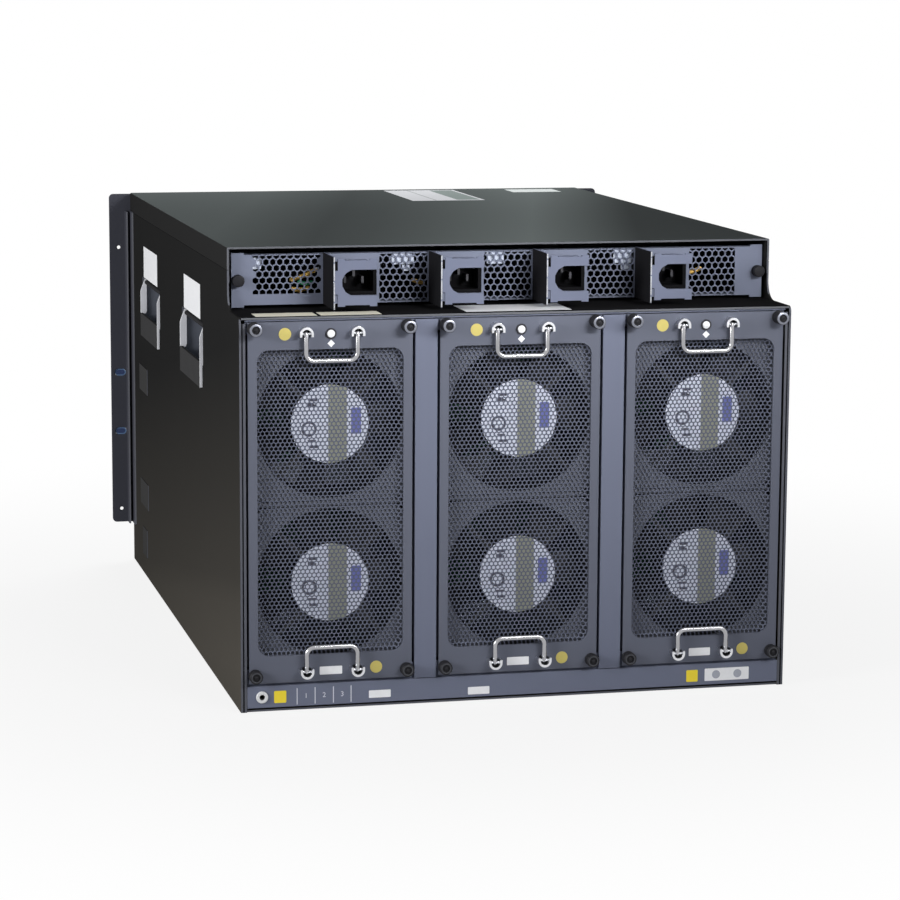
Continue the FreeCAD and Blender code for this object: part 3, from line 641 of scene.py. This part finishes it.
def fan_frame(shape, x, z):
    """Square flanges joined by a round tube, the motor's cup and four struts."""
    y0, y1, half = fan_front, fan_back, frame_half
    loop = [(fan_bore, y0 + 4, 0), (57.9, y0, 0), (half, y0, 1), (half, y0 + 4.5, 1), (58.7, y0 + 4.5, 0),
            (58.7, y1 - 4.5, 0), (half, y1 - 4.5, 1), (half, y1, 1), (57.9, y1, 0), (fan_bore, y1 - 4, 0)]
    sides = 72
    points = []
    for reach, along, square in loop:
        for k in range(sides):
            a = 2 * math.pi * (k + 0.5) / sides
            c, s = math.cos(a), math.sin(a)
            r = min(reach / max(abs(c), abs(s)), reach * 1.34) if square else reach
            points.append((x + r * c, along, z + r * s))
    faces = []
    for ring in range(len(loop)):
        a, b = ring * sides, (ring + 1) % len(loop) * sides
        faces += [[a + k, a + (k + 1) % sides, b + (k + 1) % sides, b + k] for k in range(sides)]
    shape.add(points, faces)
    cup = [(0.5, y0 + 6.0), (29.4, y0 + 6.0), (30.0, y0 + 5.0), (30.0, y0 + 0.8), (29.2, y0), (0.5, y0)]
    shape.turned(cup, (x, 0, z), 64)
    (near, near_half), (far, far_half) = strut_width
    for n in range(4):
        a = math.radians(45 + 90 * n)
        along, across = Vector((math.cos(a), 0, math.sin(a))), Vector((-math.sin(a), 0, math.cos(a)))
        middle = Vector((x, y0, z))
        corners = [middle + along * r + across * w
                   for r, w in ((near, -near_half), (far, -far_half), (far, far_half), (near, near_half))]
        points = [c + Vector((0, 1.3, 0)) for c in corners] + [c + Vector((0, 4, 0)) for c in corners]
        faces = [[k, k + 4, (k + 1) % 4 + 4, (k + 1) % 4] for k in range(4)]
        shape.add(points, [[0, 1, 2, 3], [7, 6, 5, 4]] + faces)


def fan_rotor(shape, x, z):
    """Hub cup with seven twisted, cambered blades."""
    y0, y1 = fan_front + 6.6, fan_back - 3.0
    hub = [(25.0, y0), (28.2, y0), (28.5, y0 + 0.6), (28.5, y1 - 2), (27.0, y1), (2.0, y1)]
    shape.turned(hub, (x, 0, z), 56)
    shape.turned([(2.0, fan_front + 2.0), (2.0, y1 - 1)], (x, 0, z), 20)
    rows, columns = 7, 9
    for blade in range(blade_count):
        base = 2 * math.pi * blade / blade_count
        points = []
        for face in (0.75, -0.75):
            for i in range(rows):
                r = blade_root + (blade_tip - blade_root) * i / (rows - 1)
                chord = 21 + 12 * i / (rows - 1)
                twist = math.radians(44 - 14 * i / (rows - 1))
                for j in range(columns):
                    s = j / (columns - 1) - 0.5
                    lift = (0.25 - s * s) * 0.34 * chord + face * (1 - (2 * s) ** 4)
                    around = (s * chord * math.cos(twist) - lift * math.sin(twist)) / r
                    along = (y0 + y1) / 2 + s * chord * math.sin(twist) + lift * math.cos(twist)
                    a = base + around
                    points.append((x + r * math.cos(a), along, z + r * math.sin(a)))
        n = rows * columns
        faces = []
        for i in range(rows - 1):
            for j in range(columns - 1):
                a = i * columns + j
                faces.append([a, a + 1, a + columns + 1, a + columns])
                faces.append([n + a + columns, n + a + columns + 1, n + a + 1, n + a])
        edge = list(range(columns)) + [i * columns + columns - 1 for i in range(1, rows)]
        edge += [(rows - 1) * columns + j for j in range(columns - 2, -1, -1)]
        edge += [i * columns for i in range(rows - 2, 0, -1)]
        faces += [[edge[k], n + edge[k], n + edge[(k + 1) % len(edge)], edge[(k + 1) % len(edge)]]
                  for k in range(len(edge))]
        shape.add(points, faces)


def bail(shape, x, pivot, way, reach):
    """Rod bent twice, from one post up or down and back to the other."""
    y = rear_face - rod_off
    far = pivot + way * reach
    path = [(x - post_reach, y, pivot)]
    for turn in range(9):
        a = math.pi / 2 * turn / 8
        path.append((x - post_reach + rod_bend * (1 - math.cos(a)), y,
                     far - way * rod_bend * (1 - math.sin(a))))
    path += [(2 * x - px, y, pz) for px, py, pz in reversed(path)]
    swept(shape, path, rod_r, 20)


def post(shape, x, z, way):
    """Horseshoe of bright steel that is open towards the rod's bar, with a cross pin."""
    inner, sides, arm = 3.55, 20, way * 2.2
    arc = [math.pi * k / sides for k in range(sides + 1)]
    outline = [(x + post_r * math.cos(a), z - way * post_r * math.sin(a)) for a in arc]
    outline += [(x - post_r, z + arm), (x - inner, z + arm)]
    outline += [(x + inner * math.cos(a), z - way * inner * math.sin(a)) for a in reversed(arc)]
    outline += [(x + inner, z + arm), (x + post_r, z + arm)]
    shape.slab(outline[::way], rear_face - post_tall, rear_face)
    shape.turned([(1.0, -inner - 0.4), (1.0, inner + 0.4)], (x, rear_face - rod_off, z), 20, 0.0, "x")


def captive_screw(body, face, x, z, tall, ring_r):
    """Straight-knurled head with a neck ring; its face is a ring round a recess with a boss."""
    r = screw_r
    rim = [(4.2, -tall), (4.8, -tall + 0.25), (r, -tall + 0.9), (r, -tall + 1.4, 1), (r, -3.6, 1), (r, -3.2),
           (4.6, -2.8), (4.6, -2.2), (r, -1.8), (r, -0.2), (5.0, 0.0)]
    body.turned(rim, (x, rear_face, z), 72, 0.28)
    del body.faces[-2]
    pierced_cap(body, circle(x, z, 4.2, 72), circle(x, z, 3.1, 72), rear_face - tall, rear_face - tall + 1.3)
    body.turned([(2.0, 0.0), (2.0, 5.0), (1.6, 5.5)], (x, rear_face, z), 20)
    front = -tall
    slant = max(ring_r - 4.2, 0) * 0.42
    ring = [(3.1, front + 0.25), (3.15, front - 0.03), (min(ring_r, 4.2), front - 0.03),
            (ring_r, front - 0.03 + slant), (ring_r, front + 0.9), (3.1, front + 0.25)]
    face.turned(ring, (x, rear_face, z), 48)
    del face.faces[-2:]
    body.turned([(1.5, front + 1.3), (1.5, front + 0.5), (1.2, front + 0.3)], (x, rear_face, z), 6)


for tray in range(3):
    body = "fan_tray_%d" % (tray + 1)
    node = "tray_%d_" % (tray + 1)
    x = (tray - 1) * tray_pitch
    fan_x = x + fan_aside
    dress(plate_coat, node + "panel")
    dress(bare_zinc, node + "housing")

    guard = Shape()
    low = (x - window_half - guard_lap, tray_middle - window_tall - guard_lap)
    high = (x + window_half + guard_lap, tray_middle + window_tall + guard_lap)
    open_low = (low[0] + guard_rim, low[1] + guard_rim)
    open_high = (high[0] - guard_rim, high[1] - guard_rim)
    perforated(guard, low, high, open_low, open_high,
               guard_front, guard_front + guard_thick, guard_pitch, guard_hole)
    dished(guard, x, tray_middle)
    guard.place(node + "guard", guard_coat, body, None, [node + "grille"], False)

    frames = Shape()
    for side in (-1, 1):
        fan_frame(frames, fan_x, fan_middle + side * fan_spread)
    frames.block((fan_x - fan_bore, fan_front + 0.2, fan_middle - 2.0),
                 (fan_x + fan_bore, fan_front + 1.4, fan_middle + 2.0))
    frames.place(node + "fans", fan_lit_front, body, None, [node + "fan_frames"])
    for side, which in ((-1, "lower"), (1, "upper")):
        rotor = Shape()
        fan_rotor(rotor, fan_x, fan_middle + side * fan_spread)
        spinning = node + which + "_rotor"
        rotor.place(node + which + "_blades", fan_black, spinning, None, [spinning])

    discs, bands, blocks, marks = Shape(), Shape(), Shape(), Shape()
    disc_face = fan_front - disc_out
    for side in (-1, 1):
        z = fan_middle + side * fan_spread
        discs.slab(circle(fan_x, z, disc_r, 72), disc_face, fan_front)
        across = [-1.3 + 14.5 * k / 10 for k in range(11)]
        edge = [(a, math.sqrt(disc_r ** 2 - a ** 2)) for a in across]
        outline = [(fan_x + a, z - b) for a, b in edge] + [(fan_x + a, z + b) for a, b in reversed(edge)]
        bands.slab(outline, disc_face - film, disc_face)
        blocks.block((fan_x + 16.6, disc_face - film, z - 8.3), (fan_x + 24.4, disc_face, z + 12.1), 0.8)
        marks.turned([(4.2, -film), (6.0, -film), (6.0, 0.0), (4.2, 0.0), (4.2, -film)],
                     (fan_x - 16.4, disc_face, z - 3.6), 40)
        del marks.faces[-2:]
        for bar_x, bar_z, bar_half, bar_tall in disc_bars:
            marks.block((fan_x + bar_x - bar_half, disc_face - film, z + bar_z - bar_tall),
                        (fan_x + bar_x + bar_half, disc_face, z + bar_z + bar_tall))
    discs.place(node + "fan_discs", disc_white, body, "socket_plastic")
    bands.place(node + "fan_disc_bands", disc_olive, body, "socket_plastic")
    blocks.place(node + "fan_disc_blocks", disc_blue, body, "socket_plastic")
    marks.place(node + "fan_disc_marks", dark_ink, body, "socket_plastic")

    posts, hollow_shades = Shape(), Shape()
    for which, pivot, way, reach in (("lower", tray_bottom + post_in, 1, lower_reach),
                                     ("upper", tray_top - post_in, -1, upper_reach)):
        for side in (-1, 1):
            post(posts, x + side * post_reach, pivot, way)
            # A black disc fills each post's hollow: painted shade.
            hollow_shades.turned([(3.6, -1.5), (3.6, -0.1)], (x + side * post_reach, rear_face, pivot), 32)
        rod = Shape()
        bail(rod, x, pivot, way, reach)
        folding = node + which + "_handle"
        rod.place(node + which + "_rod", chrome, folding, None, [folding])
    posts.place(node + "posts", ring_chrome, body, None, [node + "handle_posts"])
    hollow_shades.place(node + "post_seats", screw_black, body, "screw_black")

    # The upper screws take the brighter face: painted reflection.
    screws, faces, glint_faces = Shape(), Shape(), Shape()
    for side in (-1, 1):
        captive_screw(screws, faces, x + side * screw_x, screw_low, 7.6, 4.1)
        captive_screw(screws, glint_faces, x + side * screw_x, screw_high, 12.4, 4.85)
    screws.place(node + "screws", screw_black, body, None, [node + "captive_screws"])
    faces.place(node + "screw_faces", screw_face, body, "screw_black")
    glint_faces.place(node + "upper_screw_faces", screw_face_painted_glint, body, "screw_black")

    lenses, rings, labels, dots = Shape(), Shape(), Shape(), Shape()
    lenses.turned([(2.4, -1.5), (2.9, -1.2), (2.9, 0.0)], (x + 0.1, rear_face, lens_z), 36)
    lenses.turned([(2.9, -0.06), (2.9, 0.0)], (x + 0.3, rear_face, 286.1), 4)
    lenses.place(node + "lens", white_film, body, "socket_plastic")
    rings.turned([(2.95, -1.0), (4.0, -1.0), (4.3, -0.7), (4.3, 0.0)], (x + 0.1, rear_face, lens_z), 36)
    del rings.faces[-2]
    rings.place(node + "lens_ring", lens_ring, body, "black_plastic")
    labels.block((x - 9.0, rear_face - sticker, 27.3), (x + 8.8, rear_face, 33.7), 0.4)
    labels.place(node + "white_sticker", white_film, body, "socket_plastic")
    dots.slab(circle(x - 35.5, 294.0, dot_r, 36), rear_face - sticker, rear_face)
    dots.slab(circle(x + 35.8, 31.5, dot_r, 36), rear_face - sticker, rear_face)
    dots.place(node + "yellow_dots", pale_yellow, body, "socket_plastic")


# Carrying handles. Four bails, each a grey rubber grip with two hooked legs of zinc-plated
# strip, hang on hinge rods in the cups and fold out to lift the case.
bail_places = (rear_face + 235.8, rear_face + 486.0)
leg_from, leg_to, leg_thick = -55.5, 53.5, 2.0
# how far out from the side, and Z
leg_outline = ((2.3, 229.2), (2.25, 270.4), (1.6, 272.6), (0.0, 276.9), (-1.6, 281.0),
               (-2.4, 282.2), (-6.0, 282.4), (-5.6, 279.5), (-3.4, 276.5), (-3.4, 252.0),
               (-2.6, 249.6), (0.3, 247.0), (0.3, 229.2))
hinge_x, hinge_z = 217.5, 278.5
hinge_profile = [(1.6, -57.7), (2.0, -57.3), (2.0, 57.3), (1.6, 57.7)]
rubber_grey = moulded("rubber_grey", (0.055, 0.055, 0.056), 0.6, shine=0.0)
hinge_grey = moulded("hinge_grey", (0.04, 0.04, 0.042), 0.6, shine=0.0)
# The plated legs get a near-white, barely metallic colour that paints in their bright reflection.
leg_zinc_painted_reflection = plated_steel("leg_zinc_painted_reflection", (0.86, 0.87, 0.92), 0.4, 0.1)
for number, y in enumerate(bail_places, 1):
    for which, side in (("left", -1), ("right", 1)):
        body = "%s_handle_%d" % (which, number)
        legs, hinge, grip = Shape(), Shape(), Shape()
        outline = [(side * (out - left_edge), z) for out, z in leg_outline]
        for y0 in (y + leg_from, y + leg_to):
            legs.slab(outline[::-side], y0, y0 + leg_thick)
        legs.place(body + "_legs", leg_zinc_painted_reflection, body, None, [body])
        hinge.turned(hinge_profile, (side * hinge_x, y, hinge_z), 24)
        hinge.place(body + "_hinge", hinge_grey, body, "plated_steel")
        ends = sorted((side * (0.3 - left_edge), side * (2.4 - left_edge)))
        grip.block((ends[0], y - 53.4, 229.1), (ends[1], y + 55.6, 250.0))
        grip.place(body + "_grip", rubber_grey, body, "black_plastic")


# Power row. A perforated panel across the back of the power supplies, held by a knurled
# thumb screw at each end, with four appliance inlets and four folded cord brackets.
panel_front = rear_face + 60.0
panel_back = panel_front + 1.2
row_middle = 329.4
panel_low, panel_high = 309.8, 349.0
first_low = 318.2
panel_half, tab_from = 216.8, 206.8
tab_low, tab_high = 308.1, 350.5
panel_pitch, panel_hole = 5.5, 4.5
zones = [(left_edge + a, left_edge + b) for a, b in
         ((21.0, 75.0), (121.5, 160.5), (206.0, 245.0), (291.0, 330.0), (376.0, 415.0))]
bay_places = [left_edge + (76.6 + 84.7 * n) for n in range(4)]
inlet_off = 25.5
inlet_half, inlet_tall = 17.3, 13.3
panel = Shape()
for zone_left, zone_right in zones:
    low = (zone_left, first_low if zone_left == zones[0][0] else panel_low)
    high = (zone_right, panel_high)
    perforated(panel, low, high, low, high, panel_front, panel_back, panel_pitch, panel_hole)
panel.block((zones[0][0], panel_front, panel_low), (zones[0][1], panel_back, first_low))
strips = [(-panel_half, zones[0][0])]
strips += [(zones[n][1], zones[n + 1][0]) for n in range(4)]
strips.append((zones[4][1], panel_half))
for n, (start, end) in enumerate(strips):
    if 1 <= n <= 4:
        here = bay_places[n - 1] + inlet_off
        near, far = here - inlet_half, here + inlet_half
        panel.block((start, panel_front, panel_low), (near, panel_back, panel_high))
        panel.block((far, panel_front, panel_low), (end, panel_back, panel_high))
        panel.block((near, panel_front, panel_low), (far, panel_back, row_middle - inlet_tall))
        panel.block((near, panel_front, row_middle + inlet_tall), (far, panel_back, panel_high))
    else:
        panel.block((start, panel_front, panel_low), (end, panel_back, panel_high))
for side in (-1, 1):
    ends = sorted((side * panel_half, side * tab_from))
    panel.block((ends[0], panel_front, tab_low), (ends[1], panel_back, panel_low))
    panel.block((ends[0], panel_front, panel_high), (ends[1], panel_back, tab_high))
panel.block((-panel_half, panel_back, panel_low), (panel_half, panel_back + 9, panel_low + 1))
panel.block((-panel_half, panel_back, panel_high - 1), (panel_half, panel_back + 9, panel_high))
# Lighter than the same blue-grey on the trays: painted light against the lid's shade on the power row.
panel_coat = powder_coat("panel_coat", (0.160, 0.178, 0.242), 0.1, 0.12)
panel.place("power_perforated_panel", panel_coat, "chassis", None, ["power_panel"], False)

thumbs = Shape()
for side in (-1, 1):
    centre = (side * 212.2, panel_front, row_middle)
    thumbs.turned([(3.6, -8.0), (4.4, -7.8), (4.7, -7.2), (4.7, -6.9, 1), (4.7, -2.2, 1), (4.7, -1.9),
                   (4.2, -1.4), (4.2, 0.0)], centre, 56, 0.3)
    thumbs.turned([(2.0, 0.0), (2.0, 7.4), (1.6, 8.0)], centre, 20)
thumb_black = moulded("thumb_black", (0.010, 0.010, 0.013), 0.5, shine=0.15)
thumbs.place("power_thumb_screws", thumb_black, "chassis", None, ["power_panel_screws"])

# Lighter than the tray paint, painted light against the lid's shade; the walls' left faces are painted near black,
# painted shade.
bracket_coat = powder_coat("bracket_coat", (0.148, 0.164, 0.228), 0.0, painted_shade_left_colour=(0.014, 0.014, 0.016))
dress(bracket_coat, "cord_brackets")
inlet_black = moulded("inlet_black", (0.004, 0.004, 0.005), 0.7, shine=0.08)
dress(inlet_black, "power_inlets")
# Bright strips down the bracket walls' front edges, broken where the edges catch the light: painted highlights.
edge_highlights = Shape()
blades = Shape()
for x in bay_places:
    for low, high in ((309.9, 314.5), (316.0, 330.8), (332.0, 345.2), (346.4, 350.1)):
        edge_highlights.block((x + 0.1, panel_front - 42.1, low), (x + 1.1, panel_front - 42.0, high))
    for side in (-1, 0, 1):
        blade_x = x + inlet_off + side * 7.0
        z = row_middle + (3.4 if side == 0 else -1.6)
        blades.block((blade_x - 1.0, panel_front + 5.0, z - 2.6), (blade_x + 1.0, panel_front + 18.4, z + 2.6), 0.4)
blade_steel = plated_steel("blade_steel", (0.05, 0.05, 0.055), 0.5)
edge_highlights.place("bracket_edge_highlights", post_steel, "chassis", "plated_steel")
blades.place("inlet_blades", blade_steel, "chassis", "plated_steel")


# Behind the power panel. A few insulated wires of the power supplies show through the holes, and
# bright plates behind the sheet give the glints seen through them, painted reflections. They are
# visual only and end behind the sheet.
wire_r = 1.7
glint_front, glint_back = panel_back + 1.6, panel_back + 2.1
# X from the left edge, Z, half width and half height
glint_places = ((141.0, 344.0, 9.0, 4.6), (143.5, 336.5, 3.0, 2.4), (216.0, 343.5, 7.0, 5.0), (24.5, 342.0, 3.6, 4.4),
              (321.0, 343.0, 7.5, 5.6), (323.0, 334.6, 3.4, 2.2), (72.6, 336.6, 1.6, 1.6))
wire_amber = moulded("wire_amber", (0.85, 0.52, 0.12), 0.4)
wire_green = moulded("wire_green", (0.05, 0.36, 0.18), 0.4)
# X from the left edge, depth behind the panel, and Z
wire_runs = ((wire_amber, "amber", [[(53.0, 6.0, 328.5), (62.0, 4.0, 331.5), (72.0, 3.0, 336.4)],
                                    [(54.0, 5.0, 321.4), (59.0, 4.0, 320.4), (66.0, 5.0, 321.8)],
                                    [(377.0, 4.0, 328.5), (381.0, 3.0, 329.5), (387.0, 4.0, 331.5)],
                                    [(150.0, 5.0, 326.5), (154.0, 4.0, 325.0), (158.0, 5.0, 324.0)]]),
             (wire_green, "green", [[(59.0, 5.0, 326.5), (64.0, 4.0, 325.4), (69.0, 6.0, 326.0)]]))
for paint, colour_word, runs in wire_runs:
    wires = Shape()
    for run in runs:
        swept(wires, smooth_run([(left_edge + a, panel_back + b, c) for a, b, c in run]), wire_r, 10)
    wires.place("supply_wires_" + colour_word, paint, "chassis", "socket_plastic")
glints = Shape()
for a, z, half_x, half_z in glint_places:
    x = left_edge + a
    glints.block((x - half_x, glint_front, z - half_z), (x + half_x, glint_back, z + half_z), 0.5)
# Bright plates that paint the glints seen through the panel's holes: painted reflection.
glint_plate_finish = plated_steel("glint_plate_finish", (0.55, 0.60, 0.72), 0.3, 0.35)
glints.place("supply_glint_plates", glint_plate_finish, "chassis", "plated_steel")


# Ledge and side stickers. Plain paper and film on the cord ledge and above the handle
# windows, with nothing printed on them, and the folded lip under the ledge's edge.
ledge_top = 307.0
cream_film = sticker_stock("cream_film", (0.80, 0.77, 0.64))


def flat_label(shape, x0, x1, y0, y1, z):
    """A 0.1 mm film lying on a level face, its sizes from the left and rear edges."""
    shape.add([(left_edge + a, rear_face + b, z + c) for c in (0.1, 0.0) for a, b in
               ((x0, y0), (x1, y0), (x1, y1), (x0, y1))],
              [[0, 1, 2, 3], [7, 6, 5, 4], [0, 4, 5, 1], [1, 5, 6, 2], [2, 6, 7, 3], [3, 7, 4, 0]])


creams, ledge_label, side_labels = Shape(), Shape(), Shape()
flat_label(creams, 14.0, 61.5, 6.0, 27.0, ledge_top)
flat_label(creams, 64.5, 112.0, 6.0, 27.0, ledge_top)
flat_label(ledge_label, 179.5, 264.0, 9.0, 52.0, ledge_top)
for y0, y1 in ((rear_face + 191.6, rear_face + 281.0), (rear_face + 444.0, rear_face + 533.0)):
    side_labels.block((left_edge - 0.1, y0, 284.0), (left_edge, y1, 312.7))
lip = Shape()
lip.block((-216.4, rear_face + 1.2, 304.0), (216.4, rear_face + 2.2, 304.95))
lip.place("ledge_inner_lip", service_coat, "chassis", "black_paint")
creams.place("ledge_cream_stickers", cream_film, "chassis", "socket_plastic")
ledge_label.place("ledge_white_sticker", white_film, "chassis", "socket_plastic")
side_labels.place("side_white_labels", white_film, "chassis", "socket_plastic")


# Card side. Plain card faces, boards and power supplies in dark powder coat slide on
# bare zinc rails into a green board with moulded sockets.
card_coat = powder_coat("card_coat", (0.075, 0.077, 0.088), 0.25)
supply_coat = powder_coat("supply_coat", (0.09, 0.092, 0.10), 0.25)
board_green = moulded("board_green", (0.03, 0.12, 0.06), 0.35)
dress(card_coat, *["card_%d" % (n + 1) for n in range(6)])
dress(supply_coat, *["power_supply_%d" % (n + 1) for n in range(4)])
dress(bare_zinc, "card_cage")
dress(board_green, "midplane")


# Studio. A white floor that keeps the shadow, a white surround where the camera and
# mirrors look, soft lamps from the service side and above, and the photograph's camera.
def stage_plane(name, size, material, height):
    mesh = bpy.data.meshes.new(name)
    corners = [(-size, -size), (size, -size), (size, size), (-size, size)]
    mesh.from_pydata([(x, y, height) for x, y in corners], [], [[0, 1, 2, 3]])
    mesh.materials.append(material)
    plane = bpy.data.objects.new(name, mesh)
    bpy.context.scene.collection.objects.link(plane)


def looked_at(tree):
    """1 where a camera, mirror or glass ray arrives."""
    rays = tree.nodes.new("ShaderNodeLightPath")
    seen = Wire(rays.outputs["Is Camera Ray"]) + Wire(rays.outputs["Is Glossy Ray"])
    seen = seen + Wire(rays.outputs["Is Transmission Ray"])
    seen.socket.node.use_clamp = True
    return seen


floor_white, tree, shader, place = new_finish("floor_white")
feed(shader, Base_Color=(0.6, 0.6, 0.6), Roughness=0.9, Specular_IOR_Level=0.0)
glow = add_node(tree, "ShaderNodeEmission", {}, {"Color": (1.0, 1.0, 1.0), "Strength": 1.0})
distance = add_node(tree, "ShaderNodeVectorMath", {"operation": "LENGTH"}, {0: place}, 1)
fade = add_node(tree, "ShaderNodeMapRange", {"interpolation_type": "SMOOTHSTEP"},
                {0: distance, 1: 0.30, 2: 0.95, 3: 0.86, 4: 1.0})
sockets = {0: fade * looked_at(tree), 1: Wire(shader.outputs[0]), 2: glow}
mixed = add_node(tree, "ShaderNodeMixShader", {}, sockets)
tree.links.new(mixed.socket, tree.nodes["Material Output"].inputs["Surface"])
stage_plane("floor", 30.0, floor_white, -0.0005)

world = bpy.data.worlds.new("studio")
bpy.context.scene.world = world
world.use_nodes = True
tree = world.node_tree
shade = blend(tree, looked_at(tree), (0.15, 0.15, 0.158), (1.0, 1.0, 1.0))
tree.links.new(shade.socket, tree.nodes["Background"].inputs["Color"])


def soft_lamp(name, place, target, size, watts, beam=180):
    lamp = bpy.data.lights.new(name, "AREA")
    lamp.spread = math.radians(beam)
    lamp.shape = "RECTANGLE"
    lamp.size, lamp.size_y = size
    lamp.energy = watts
    holder = bpy.data.objects.new(name, lamp)
    holder.location = place
    holder.rotation_euler = (Vector(target) - Vector(place)).to_track_quat("-Z", "Y").to_euler()
    bpy.context.scene.collection.objects.link(holder)


soft_lamp("key", (0.8, -1.3, 0.74), (0, -0.3, 0.25), (0.45, 0.35), 5.0)
soft_lamp("fill", (-2.5, -1.25, 0.95), (-0.22, -0.1, 0.2), (1.0, 0.8), 55)
soft_lamp("upper", (0.25, -1.15, 0.66), (-0.02, -0.3, 0.38), (0.4, 0.12), 0.85, 50)
soft_lamp("lid", (0.1, 0.85, 0.9), (0.0, 0.15, 0.35), (0.7, 0.5), 9)

yaw, pitch, roll = 0.2372231, -0.1609889, 0.0057964
ahead = Vector((math.sin(yaw) * math.cos(pitch), math.cos(yaw) * math.cos(pitch), math.sin(pitch)))
right = Vector((math.cos(yaw), -math.sin(yaw), 0))
up = right.cross(ahead)
tilted_right = right * math.cos(roll) + up * math.sin(roll)
tilted_up = up * math.cos(roll) - right * math.sin(roll)
lens = bpy.data.cameras.new("camera")
lens.sensor_width = 36
lens.lens = 2970.0245 * 36 / 900
camera = bpy.data.objects.new("camera", lens)
turn = Matrix((tilted_right, tilted_up, -ahead)).transposed()
camera.matrix_world = Matrix.Translation((-0.59005, -2.52130, 0.56962)) @ turn.to_4x4()
bpy.context.scene.collection.objects.link(camera)
bpy.context.scene.camera = camera
bpy.context.scene.view_settings.view_transform = "Standard"
